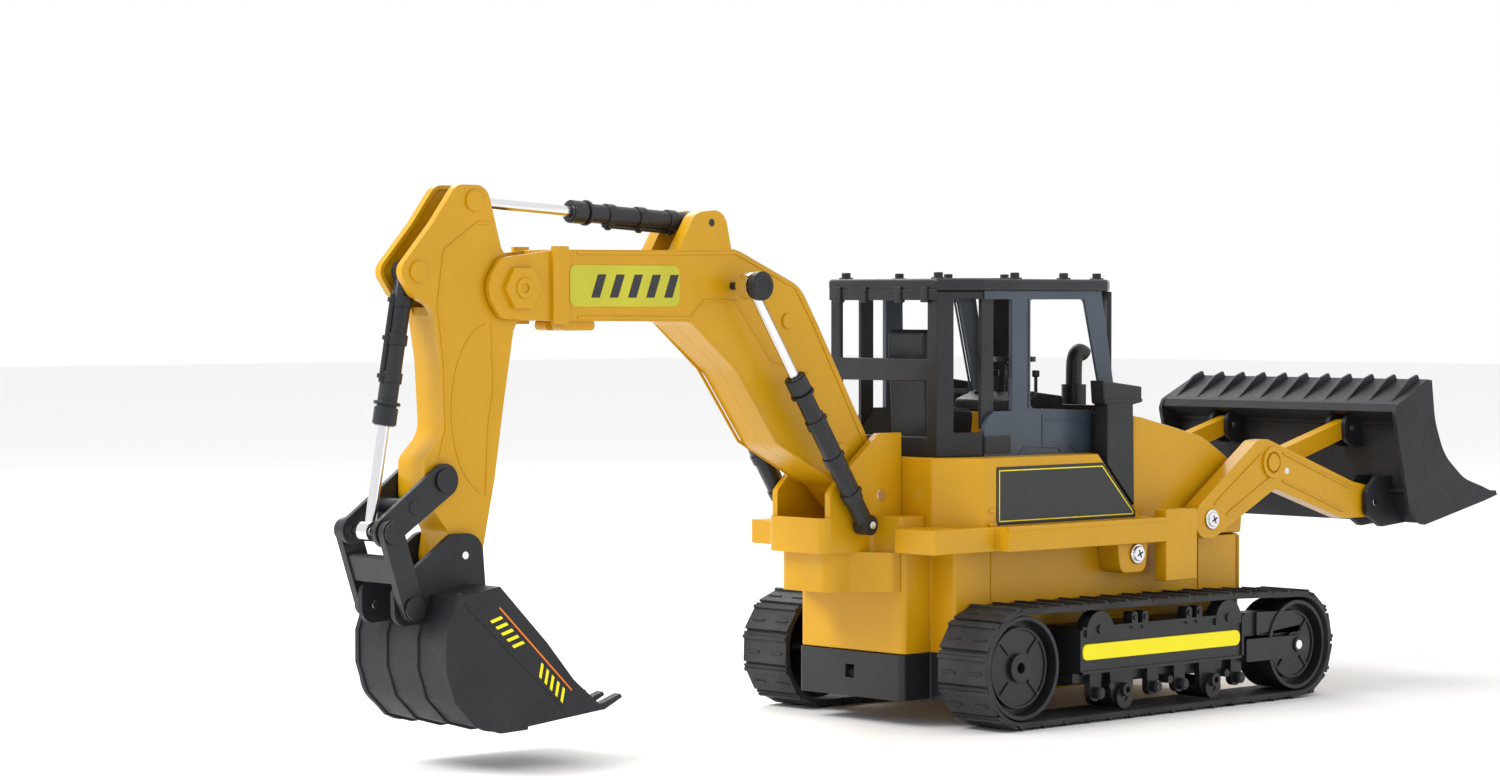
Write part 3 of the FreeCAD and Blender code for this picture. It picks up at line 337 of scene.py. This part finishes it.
WHEELS = {"drive": (25.2, 58.6), "idler": (23.2, 60.5)}              # radius and inner face
WHEEL_FACE = 82.5
for side, y in SIDES:
    for name, (radius, inner) in WHEELS.items():
        x, z = pivot(f"{name}_{side}_spin")
        wheel = bmesh.new()
        ring(wheel, x, z, radius, radius - 2.2, y * inner, y * WHEEL_FACE, steps=64)
        ring(wheel, x, z, radius - 2.1, 2.6, y * 70, y * 76.5, steps=64)
        ring(wheel, x, z, radius - 5.4, radius - 6.8, y * 76.4, y * 79.5, steps=64)
        ring(wheel, x, z, radius - 5.9, 6.2, y * 76.3, y * 78.6, steps=64)
        ring(wheel, x, z, 7.0, 2.6, y * 76.4, y * 80.8, steps=32)
        for quarter in range(4):
            angle = math.radians(45 + 90 * quarter)
            u, v = math.cos(angle), math.sin(angle)
            rib = [(x + u * reach, z + v * reach) for reach in (9.5, radius - 6.2)]
            bead(wheel, rib, 1.5, y * 78.5, y * 79.5)
        finished(f"{name}_wheel_moulding_{side}", wheel, black, f"{name}_{side}",
                 [f"{name}_wheel_{side}"], bevel=0.35)

# ---------------------------------------------------------------- track side frames
# Each side frame is a black moulding with two round lugs, small twin tabs and a bolted skirt
# over the road rollers, and an arm that carries the idler. A yellow strip is stuck on.


def circle(u, v, radius, steps=28, start=0.0, end=360.0):
    """Points of a circle, or of an arc of it from start to end in degrees."""
    span = steps if end - start >= 360 else steps - 1
    angles = [math.radians(start + (end - start) * i / span) for i in range(steps)]
    return [(u + radius * math.cos(a), v + radius * math.sin(a)) for a in angles]


for node in ("track_plates", "track_rollers"):
    refined(node, black, 0.5)
for side, y in SIDES:
    cover = bmesh.new()
    prism(cover, plate(-65, 24, 60, 47, 1.5), y * 60, y * 82)
    prism(cover, plate(-63, 19, 58, 25, 1), y * 62, y * 76)
    for low, high in ((24, 25.4), (45.6, 47)):
        prism(cover, plate(-65, low, 60, high, 0.4), y * 81.9, y * 83)
    for left, right in ((-65, -63.4), (58.4, 60)):
        prism(cover, plate(left, 24, right, 47, 0.4), y * 81.9, y * 83)
    for x in (-50.5, 47.5):
        lug = [(x - 10, 42)] + [(x + 10, 42)] + circle(x, 44.5, 10, 16, 0, 180)
        prism(cover, lug, y * 76, y * 83.2)
        prism(cover, circle(x, 45.5, 2.3, 18), y * 83, y * 84.2)
    for x in (-24.5, -16.5, 17, 25):
        prism(cover, plate(x - 2.2, 44, x + 2.2, 52.6, 1.6), y * 77, y * 82.8)
        prism(cover, circle(x, 49.6, 1.3, 12), y * 82.7, y * 83.6)
    for x in (-30.5, 37.5):                                            # road wheels in their skirt
        skirt = [(x - 9, 24.5)] + circle(x, 14, 8.2, 18, 180, 360) + [(x + 9, 24.5)]
        prism(cover, skirt, y * 76, y * 79.5)
        ring(cover, x, 10.6, 5.8, 2.0, y * 79.4, y * 81.6, steps=32)
        ring(cover, x, 14.4, 3.4, 1.6, y * 79.4, y * 83.6, steps=24)
    for x in (-50, -7, 13.5, 58):
        flap = [(x - 4.2, 24.5)] + circle(x, 14, 4.2, 14, 180, 360) + [(x + 4.2, 24.5)]
        prism(cover, flap, y * 76, y * 79.5)
        prism(cover, circle(x, 14, 2.9, 20), y * 79.4, y * 83.2)
        prism(cover, circle(x, 14, 2.0, 16), y * 83.1, y * 83.8)
    for x in (-41, 3.2, 47.5):
        prism(cover, circle(x, 17, 2.0, 16), y * 76, y * 82.4)
    prism(cover, plate(60, 34.4, 72.5, 46.5, 1), y * 60, y * 80)
    prism(cover, rounded([(72, 34.5, 1), (106, 34.5, 4), (110, 45.5, 8), (72, 46.5, 1)]), y * 70, y * 81.6)
    prism(cover, rounded([(62, 21.5, 1), (99, 21.5, 1), (99, 24, 0.5), (112, 24, 3), (116, 32.8, 5),
                          (62, 33.2, 1)]), y * 76, y * 83.2)
    finished(f"track_frame_moulding_{side}", cover, black, "chassis",
             ["track_covers"] if side == "right" else (), bevel=0.45)
    strip = bmesh.new()
    prism(strip, plate(-63.5, 30.8, 56.5, 38.6, 3.4), y * 81.9, y * 83.4)
    finished(f"track_strip_{side}", strip, yellow_ink, "chassis", bevel=0.3)
    boss = bmesh.new()
    ring(boss, *pivot(f"idler_{side}_spin"), 4.0, 2.6, y * 83.1, y * 84.2, steps=28)
    finished(f"idler_boss_{side}", boss, black, "chassis", bevel=0.2)

# ---------------------------------------------------------------- track belts
# Each belt is a soft black rubber loop with pads moulded round it, every pad with one cleat
# across it and two short bars. It goes round both wheels, with a low crown along its top.


def belt_line(depth):
    """Outline of a belt at that depth below its outer face: flat below, crowned above."""
    (rear_x, rear), (front_x, front) = pivot("drive_right_spin"), pivot("idler_right_spin")
    crown_x, crown_drop, crown_radius = 54.0, 1.4, 40
    back, nose = rear_x - rear + depth, front_x + front - depth
    rear_round, front_round = 0.96 * rear - depth, 0.96 * front - depth
    return rounded([(back, depth, rear_round), (nose, depth, front_round),
                    (nose, 2 * front - depth, front_round),
                    (crown_x, 2 * rear - crown_drop - depth, crown_radius),
                    (back, 2 * rear - depth, rear_round)], 14)


def pad_tree(material):
    """Geometry Nodes: pads with their cleats and bars, set evenly along a closed line."""
    tree = bpy.data.node_groups.new("track_pads", "GeometryNodeTree")
    for label, kind in (("Geometry", "NodeSocketGeometry"), ("Pad Count", "NodeSocketInt"),
                        ("Pad Width", "NodeSocketFloat"), ("Pad Length", "NodeSocketFloat")):
        tree.interface.new_socket(label, in_out="INPUT", socket_type=kind)
    tree.interface.new_socket("Geometry", in_out="OUTPUT", socket_type="NodeSocketGeometry")
    new, link = tree.nodes.new, tree.links.new
    enter, leave = new("NodeGroupInput"), new("NodeGroupOutput")

    def scaled(socket, share):
        product = new("ShaderNodeMath")
        product.operation = "MULTIPLY"
        link(enter.outputs[socket], product.inputs[0])
        product.inputs[1].default_value = share
        return product.outputs[0]

    def bar(length, width_share, height, lift, forward=0.0, aside=0.0):
        cube, span = new("GeometryNodeMeshCube"), new("ShaderNodeCombineXYZ")
        move = new("GeometryNodeTransform")
        if isinstance(length, float):
            span.inputs["X"].default_value = length
        else:
            link(length, span.inputs["X"])
        link(scaled("Pad Width", width_share), span.inputs["Y"])
        span.inputs["Z"].default_value = height
        link(span.outputs[0], cube.inputs["Size"])
        move.inputs["Translation"].default_value = (forward, aside, lift)
        link(cube.outputs["Mesh"], move.inputs["Geometry"])
        return move.outputs["Geometry"]

    pad = new("GeometryNodeJoinGeometry")
    for part in (bar(scaled("Pad Length", 0.92), 1.0, 0.0014, 0.0006),
                 bar(0.0018, 1.0, 0.0015, 0.0016, 0.0050),
                 bar(0.0012, 0.28, 0.0010, 0.0015, -0.0022, 0.0085),
                 bar(0.0012, 0.28, 0.0010, 0.0015, -0.0022, -0.0085)):
        link(part, pad.inputs["Geometry"])
    points, turn = new("GeometryNodeCurveToPoints"), new("FunctionNodeAlignRotationToVector")
    points.mode = "COUNT"
    link(enter.outputs["Geometry"], points.inputs["Curve"])
    link(enter.outputs["Pad Count"], points.inputs["Count"])
    turn.axis, turn.pivot_axis = "X", "Y"
    link(points.outputs["Tangent"], turn.inputs["Vector"])
    copies, real = new("GeometryNodeInstanceOnPoints"), new("GeometryNodeRealizeInstances")
    paint = new("GeometryNodeSetMaterial")
    link(points.outputs["Points"], copies.inputs["Points"])
    link(pad.outputs["Geometry"], copies.inputs["Instance"])
    link(turn.outputs["Rotation"], copies.inputs["Rotation"])
    link(copies.outputs["Instances"], real.inputs["Geometry"])
    paint.inputs["Material"].default_value = material
    link(real.outputs["Geometry"], paint.inputs["Geometry"])
    link(paint.outputs["Geometry"], leave.inputs["Geometry"])
    return tree


def grown(piece, tree, values):
    """What a Geometry Nodes tree makes, as a plain mesh. Its carrier is removed."""
    modifier = piece.modifiers.new("grow", "NODES")
    modifier.node_group = tree
    for item in tree.interface.items_tree:
        if item.in_out == "INPUT" and item.name in values:
            modifier[item.identifier] = values[item.name]
    bpy.context.view_layer.update()
    mesh = bpy.data.meshes.new_from_object(piece.evaluated_get(bpy.context.evaluated_depsgraph_get()))
    bpy.data.objects.remove(piece)
    return mesh


BELT_MIDDLE, BELT_INNER, BELT_OUTER = 68.5, 53, 84.2
PAD_DEPTH, WEB_TOP, WEB_FOOT = 2.6, 2.2, 4.1                           # below the belt's outer face
PADS = {"Pad Count": 37, "Pad Width": 0.0312, "Pad Length": 0.0166}
rubber = finish_of("belt_rubber", (0.028, 0.028, 0.030), 0.55, 0.00012, 1100, mottling=0.3)
pads = pad_tree(rubber)
for side, y in SIDES:
    route = bpy.data.curves.new("belt_route", "CURVE")
    route.dimensions = "3D"
    line = belt_line(PAD_DEPTH)
    line.reverse()                                                     # runs forwards along the top
    spline = route.splines.new("POLY")
    spline.points.add(len(line) - 1)
    for dot, (u, v) in zip(spline.points, line):
        dot.co = (*spot(u, y * BELT_MIDDLE, v), 1)
    spline.use_cyclic_u = True
    form = bmesh.new()
    form.from_mesh(grown(keep("belt_route", route), pads, PADS))
    sleeve(form, [[form.verts.new(spot(u, w, v)) for u, v in belt_line(depth)]
                  for w, depth in ((y * BELT_INNER, WEB_TOP), (y * BELT_OUTER, WEB_TOP),
                                   (y * BELT_OUTER, WEB_FOOT), (y * BELT_INNER, WEB_FOOT))])
    finished(f"track_belt_pads_{side}", form, rubber, "chassis",
             [f"track_belt_{side}"], bevel=0.2, steps=1)

# ---------------------------------------------------------------- cab
# Two slate side panels with moulded lines carry the black rear guard, front frame and roof.
# Inside are the seat and a console with its steering wheel and levers.

slate = finish_of("slate_abs", (0.046, 0.062, 0.086), 0.30, 0.00006, 1600, mottling=0.1, coat=0.25)
refined("cab_sides", slate, 0.8)
for node, bevel in (("cab_rear_frame", 0.8), ("cab_front_frame", 0.5), ("cab_roof", 1.6),
                    ("intake_columns", 0.9), ("seat", 1.8), ("console", 0.9), ("steering_wheel", 0.6)):
    refined(node, black, bevel, 3)
PANEL_FACE = 44.8
for side, y in SIDES:
    lines = bmesh.new()
    for path in ([(-51, 150), (-51, 134.2), (-31, 134.2), (-26, 131)],
                 [(-51, 147.5), (-30, 147), (-8, 144.5)],
                 [(-68, 131), (-64, 134), (-40, 133.5), (-37, 131)]):
        bead(lines, path, 0.9, y * PANEL_FACE, y * 45.5)
    for path in ([(-61, 153), (-61, 207)], [(-20, 207), (-9, 165), (-6, 151)]):
        bead(lines, path, 1.2, y * PANEL_FACE, y * 45.6)
    finished(f"cab_lines_{side}", lines, slate, "chassis", bevel=0.25)
    pillar = bmesh.new()                                               # black pillar behind the door
    prism(pillar, plate(-93, 131.5, -74.5, 140, 0.6), y * 44.9, y * 45.7)
    post = [(-92.8, 142, 1), (-84, 150, 1), (-84, 209, 1), (-92.8, 209, 1)]
    prism(pillar, rounded(post), y * 40.5, y * 42.7)
    finished(f"cab_pillar_{side}", pillar, black, "chassis", bevel=0.4)
    lip = bmesh.new()
    prism(lip, plate(-21.4, 155.3, 7.2, 157.0, 0.5), y * 59.3, y * 60.2)
    finished(f"intake_lip_{side}", lip, black, "chassis", bevel=0.3)
roof_trim = bmesh.new()
prism(roof_trim, plate(-119.5, -37, -117.2, 37, 1), 206.5, 212, "Z")
for y in (-30, -12, 12, 30):
    prism(roof_trim, plate(-120.5, y - 2.4, -117, y + 2.4, 0.6), 205.4, 213, "Z")
for x in (-112, -66, -30, 4):
    for y in ((-32, 32) if x in (-112, 4) else (-40, 40)):
        prism(roof_trim, circle(x, y, 3.6, 20), 216.6, 217.8, "Z")
        prism(roof_trim, circle(x, y, 2.3, 20), 217.6, 220.2, "Z")
ring(roof_trim, -56, 0, 27, 25.6, 216.8, 217.6, "Z", 4)               # a four-sided raised line
finished("roof_trim", roof_trim, black, "chassis", bevel=0.5)
controls = bmesh.new()
for y in (-17, 17):
    ring(controls, -30, y, 3.6, 2.6, 159, 160.4, "Z", 24)
for x, y in ((-36, -9), (-36, 9), (-22, -14), (-22, 14)):
    prism(controls, circle(x, y, 0.9, 12), 157, 168, "Z")
    prism(controls, circle(x, y, 1.9, 14), 167.5, 171, "Z")
for y in (-15, 15):
    prism(controls, plate(-94, y - 2, -74, y + 2, 1.2), 160, 162.4, "Z")
finished("cab_controls", controls, black, "chassis", bevel=0.5)

# ---------------------------------------------------------------- exhaust
# A black exhaust stands on a collar on the hood. Its pipe rises and bends forward, and it is
# one solid moulding, closed at its mouth.

pipe = bpy.data.curves.new("exhaust_route", "CURVE")
pipe.dimensions = "3D"
pipe.bevel_depth = 0.0042
pipe.bevel_resolution = 6
bend = pipe.splines.new("NURBS")
foot_x = 22.5
bend.points.add(4)
for dot, (x, z) in zip(bend.points, ((0, 160), (0, 168), (0.5, 177), (4.5, 181), (9, 178.6))):
    dot.co = (*spot(foot_x + x * 0.9, 0, z), 1)
bend.order_u = 3
bend.use_endpoint_u = True
bend.resolution_u = 10
pipe_mesh = bpy.data.meshes.new_from_object(keep("exhaust_route", pipe))
bpy.data.objects.remove(bpy.data.objects["exhaust_route"])
stack = bmesh.new()
stack.from_mesh(pipe_mesh)
bmesh.ops.holes_fill(stack, edges=stack.edges)
ring(stack, foot_x, 0, 6.4, 3.8, 147.2, 163, "Z", 32)
ring(stack, foot_x, 0, 7.4, 3.8, 146, 149.2, "Z", 32)
finished("exhaust_pipe", stack, black, "chassis", ["exhaust_stack"], bevel=0.3)

# ---------------------------------------------------------------- boom
# Two yellow shells screwed together on the centre plane. Each has raised lines along its edges,
# a six-sided boss at the stick pin, round bosses and a foil label with plain slanted bars.

BOOM_FACE = 12.8
for side, y in SIDES:
    refined("boom_shell_" + side, yellow, 0.8)
    dress = bmesh.new()
    top_line = [(-326, 227.6), (-262, 228), (-229, 228.6), (-190, 212.5), (-178, 195), (-138, 128)]
    low_line = [(-326, 198.4), (-259, 198), (-229, 174), (-203, 139), (-162, 118)]
    panel_line = [(-257, 199), (-249, 206), (-229, 206), (-206, 178), (-182, 172)]
    bead(dress, top_line, 1.6, y * BOOM_FACE, y * 13.6)
    bead(dress, low_line, 1.6, y * BOOM_FACE, y * 13.6)
    bead(dress, panel_line, 1.1, y * BOOM_FACE, y * 13.5)
    nut = (-358.5, 211.6)
    prism(dress, circle(*nut, 10.4, 6), y * 12.5, y * 15.4)
    ring(dress, *nut, 4.6, 2.2, y * 15.2, y * 16.2, steps=28)
    prism(dress, circle(-195.5, 196.5, 3.6, 24), y * BOOM_FACE, y * 14.2)
    prism(dress, circle(-160, 134, 3.6, 24), y * BOOM_FACE, y * 14.2)
    prism(dress, plate(-332, 192.6, -313, 197.5, 2), y * 2, y * 10)
    finished(f"boom_dressing_{side}", dress, yellow, "boom", bevel=0.45)

lime_foil = finish_of("lime_foil", (0.50, 0.47, 0.012), 0.28, 0.00001, 900, mottling=0.06, coat=0.4)
for side, y in SIDES:
    label = bmesh.new()
    prism(label, plate(-330.5, 203.4, -264.5, 222.2, 3.5), y * 13.0, y * 13.3)
    finished(f"boom_label_{side}", label, lime_foil, "boom")
    marks = bmesh.new()
    for k in range(5):                                                 # plain slanted bars
        x = -318 + 11 * k
        prism(marks, [(x, 207.5), (x + 5, 207.5), (x + 9, 218), (x + 4, 218)], y * 13.25, y * 13.42)
    finished(f"boom_label_bars_{side}", marks, black_foil, "boom")

# ---------------------------------------------------------------- stick
# The stick is two yellow shells too, with raised lines along its rim and in a curve down its
# side, and round pin bosses at its head.

STICK_FACE = 9.2
for side, y in SIDES:
    refined("stick_shell_" + side, yellow, 0.8)
    face = bmesh.new()
    rim = [(-373.5, 240), (-380, 240.5), (-399, 228), (-402.5, 204), (-399, 180), (-398, 150), (-402, 137)]
    bead(face, rim, 1.2, y * STICK_FACE, y * 9.9)
    angles = [math.radians(degrees) for degrees in range(8, 175, 12)]
    curve = [(-373 - 22 * math.sin(a), 158 + 38 * math.cos(a)) for a in angles]
    bead(face, curve, 1.0, y * STICK_FACE, y * 9.8)
    bead(face, [(-372.5, 196), (-371.5, 168), (-374.5, 150), (-376, 120)], 1.0, y * STICK_FACE, y * 9.8)
    for x, z in ((-382.5, 250), (-413.2, 218.6)):
        prism(face, circle(x, z, 4.6, 28), y * STICK_FACE, y * 10.6)
    finished(f"stick_dressing_{side}", face, yellow, "stick", bevel=0.35)

# ---------------------------------------------------------------- rams
# Each ram is a black barrel with clamp bands, a pipe along it and a collar at its mouth, and
# a bright plated rod that slides out to its head eye.

plated = finish_of("plated_steel", (0.76, 0.76, 0.78), 0.14, 0.00001, 900, metal=1.0, mottling=0.02)


def ram(name, length, pipe_side):
    """Dress a ram's barrel with bands, a mouth collar and a side pipe, along its own stroke."""
    foot, y = pivot(name + "_swing"), joint[name + "_swing"]["pos_m"][1] * 1000
    stroke = joint[name + "_stroke"]["axis"]
    u = Vector((stroke[0], stroke[2])).normalized()
    across = Vector((-u.y, u.x)) * pipe_side
    form = bmesh.new()

    def tube(start, end, radius, bore=0.0, offset=0.0, steps=32):
        """Closed round bar along the barrel, or a ring round it where it has a bore."""
        first, last = [foot + u * d + across * offset for d in (start, end)]
        loops = [(first, radius), (last, radius)]
        if bore:
            loops += [(last, bore), (first, bore)]
        turns = [2 * math.pi * k / steps for k in range(steps)]
        rings = []
        for centre, size in loops:
            places = [(centre + across * size * math.cos(a), y + size * math.sin(a)) for a in turns]
            rings.append([form.verts.new(spot(p.x, w, p.y)) for p, w in places])
        made = [] if bore else [form.faces.new(rings[0]), form.faces.new(list(reversed(rings[1])))]
        for k in range(len(rings) if bore else 1):
            one, two = rings[k], rings[(k + 1) % len(rings)]
            for i in range(steps):
                j = (i + 1) % steps
                made.append(form.faces.new((one[i], two[i], two[j], one[j])))
        bmesh.ops.recalc_face_normals(form, faces=made)

    rod_bore, in_wall = 2.8, 4.0                                       # the rod runs inside every band
    tube(length - 7, length + 0.6, 5.3, rod_bore)
    tube(length - 9.5, length - 8, 5.9, in_wall)
    for share in (0.2, 0.45, 0.7):
        tube(length * share - 2.4, length * share + 2.4, 5.1, in_wall)
        tube(length * share - 1.0, length * share + 1.0, 1.9, offset=5.2, steps=14)
    tube(length * 0.16, length * 0.74, 1.15, offset=5.0, steps=14)
    finished(name + "_barrel_bands", form, black, name + "_barrel", bevel=0.3)


for name, length, pipe_side in (("boom_ram_right", 85, -1), ("boom_ram_left", 85, -1),
                                ("stick_ram", 75, 1), ("scoop_ram", 67, -1)):
    refined(name + "_barrel", black, 0.5)
    refined(name + "_rod", plated, 0.3)
    ram(name, length, pipe_side)
head_x, head_z = -231, 213                                             # the boom rams' head pin
for side, y in SIDES:
    knob = bmesh.new()
    prism(knob, circle(head_x, head_z, 6.9, 12), y * 30.2, y * 33.4)
    ring(knob, head_x, head_z, 6.0, 4.2, y * 33.2, y * 34.4, steps=32)
    for degrees in (20, 110):
        u, v = 3.4 * math.cos(math.radians(degrees)), 3.4 * math.sin(math.radians(degrees))
        bead(knob, [(head_x - u, head_z - v), (head_x + u, head_z + v)], 1.4, y * 33.2, y * 34.2)
    finished(f"boom_knob_{side}", knob, black, "boom", bevel=0.5)

# ---------------------------------------------------------------- scoop linkage
# Two black rocker arms and a black link turn the scoop when its ram pushes. Round caps cover
# their pins, and each arm has a small round boss halfway along it.

for node in ("rocker", "scoop_link"):
    refined(node, black, 0.9)
arm_root, arm_tip, scoop_pin = pivot("rocker_swing"), pivot("link_swing"), pivot("scoop_curl")
link_foot = scoop_pin + arm_tip - arm_root                             # the arms are parallel
for body, face, pins in (("rocker", 13.0, (arm_root,)), ("scoop_link", 17.5, (arm_tip, link_foot))):
    cap = bmesh.new()
    for side, y in SIDES:
        for pin in pins:
            prism(cap, circle(*pin, 5.2, 32), y * (face + 0.1), y * (face + 1.4))
    if body == "rocker":
        for side, y in SIDES:
            prism(cap, circle(-418, 116.6, 3.3, 24), y * 12.8, y * 13.5)   # boss halfway along
    finished(body + "_caps", cap, black, body, bevel=0.4)

# ---------------------------------------------------------------- scoop
# The digging scoop is one black grained moulding with four ribs down its back, teeth on its
# lip, and slanted hazard bars beside an orange line on each side.

grained = finish_of("grained_black", (0.014, 0.015, 0.018), 0.46, 0.00020, 1500, mottling=0.2)
orange_ink = finish_of("orange_ink", (0.80, 0.20, 0.01), 0.35, 0.00001, 900)
refined("scoop", grained, 0.7)
back_line = [(-409, 79.6), (-416.3, 60), (-416.3, 46), (-411.7, 32.6), (-400.8, 21.8), (-387, 18.0),
             (-372, 18.5)]
ribs = bmesh.new()
for y in (-31.6, -11, 11, 31.6):
    bead(ribs, [(x + 0.9, z + 0.4) for x, z in back_line], 2.0, y - 1.5, y + 1.5)
finished("scoop_ribs", ribs, grained, "scoop", bevel=0.6)
SCOOP_FACE = 33.0
for side, y in SIDES:
    trim = bmesh.new()
    bead(trim, [(-406, 75), (-351, 26.5)], 1.5, y * 32.8, y * 33.3)
    finished(f"scoop_rim_{side}", trim, grained, "scoop", bevel=0.2)
    start, end = Vector((-391, 69)), Vector((-350, 30))
    run = (end - start).normalized()
    up = Vector((-run.y, run.x))
    thin = bmesh.new()
    bead(thin, [start + up * 5.0, end + up * 5.0], 0.7, y * SCOOP_FACE, y * 33.25)
    finished(f"scoop_line_{side}", thin, orange_ink, "scoop")
    bars = bmesh.new()
    for along, slant in ((0, 3.2), (38, -3.2)):                        # the sets lean towards each other
        for k in range(5):
            base = start + run * (along + 4.2 * k)
            foot, head = base - up * 2.6, base + up * 2.8
            prism(bars, [foot, foot + run * 1.7, head + run * (slant + 1.7), head + run * slant],
                  y * SCOOP_FACE, y * 33.25)
    finished(f"scoop_hazard_bars_{side}", bars, yellow_ink, "scoop")

# ---------------------------------------------------------------- loader arms
# Two yellow lift arms with raised rails along each leg and a round elbow boss, and two yellow
# tilt struts with round ends.

refined("loader_arms", yellow, 0.9)
refined("tilt_struts", yellow, 0.8)
ARM_FACE = 62.8
elbow = (107.2, 121.8)
for side, y in SIDES:
    rails = bmesh.new()
    bead(rails, [(60, 101.5), (98, 126)], 1.4, y * ARM_FACE, y * 63.8)
    bead(rails, [(70, 96), (106, 114)], 1.4, y * ARM_FACE, y * 63.8)
    bead(rails, [(116, 126.5), (174, 106)], 1.4, y * ARM_FACE, y * 63.8)
    bead(rails, [(116, 112), (168, 94)], 1.4, y * ARM_FACE, y * 63.8)
    ring(rails, *elbow, 8.2, 5.6, y * 62.6, y * 64.4, steps=36)
    prism(rails, circle(*elbow, 4.6, 28), y * 62.6, y * 64.8)
    finished(f"arm_rails_{side}", rails, yellow, "loader_arms", bevel=0.45)

# ---------------------------------------------------------------- loader bucket
# The loader bucket is a wide black moulding. Gussets stiffen its top lip, ribs stiffen its
# back, and forked lugs take the arm and strut pins.

refined("loader_bucket", grained, 0.6)
back = bmesh.new()
for y in (-79, -57, -26, 26, 57, 79):
    bead(back, [(204.4, 139.5), (206.0, 118), (205.6, 101)], 1.6, y - 1.1, y + 1.1)
for z in (104, 138):
    prism(back, plate(203.6, z - 0.9, 207, z + 0.9, 0.3), -80, 80)
finished("loader_back_ribs", back, grained, "loader_bucket", bevel=0.4)

# ---------------------------------------------------------------- pins and screws
# Plated steel pins join the moving pieces, and the boom's own pins are black. Domed screws with
# crossed slots hold the body and the lift arms; the slots are dark strips, painted shade in the grooves.

refined("boom_pins", black, 0.25)
for node in ("boom_bracket_pins", "stick_pins", "rocker_link_pins", "scoop_link_pins", "loader_arm_pins",
             "strut_pins", "idler_pins", "drive_axle_right", "drive_axle_left"):
    refined(node, plated, 0.25)
SCREWS = ((-4, 79.5, 68.6), (*pivot("loader_lift"), 65.4))             # x, z and outer face
for side, y in SIDES:
    screw = bmesh.new()
    for x, z, face in SCREWS:
        ring(screw, x, z, 5.2, 3.2, y * (face - 2.4), y * (face - 1.2), steps=36)
        prism(screw, circle(x, z, 3.9, 32), y * (face - 1.6), y * face)
    finished(f"domed_screws_{side}", screw, plated, "chassis",
             ["chrome_screws"] if side == "right" else (), bevel=0.7, steps=3)
    # The crossed slots are black foil strips on each screw head: painted shade standing in for the dark of
    # the grooves.
    slot_shade = bmesh.new()
    for x, z, face in SCREWS:
        for angle in (25, 115):
            u, v = 2.2 * math.cos(math.radians(angle)), 2.2 * math.sin(math.radians(angle))
            bead(slot_shade, [(x - u, z - v), (x + u, z + v)], 0.9, y * (face - 0.4), y * (face + 0.05))
    finished(f"screw_slot_shade_{side}", slot_shade, black_foil, "chassis")

bpy.context.view_layer.update()
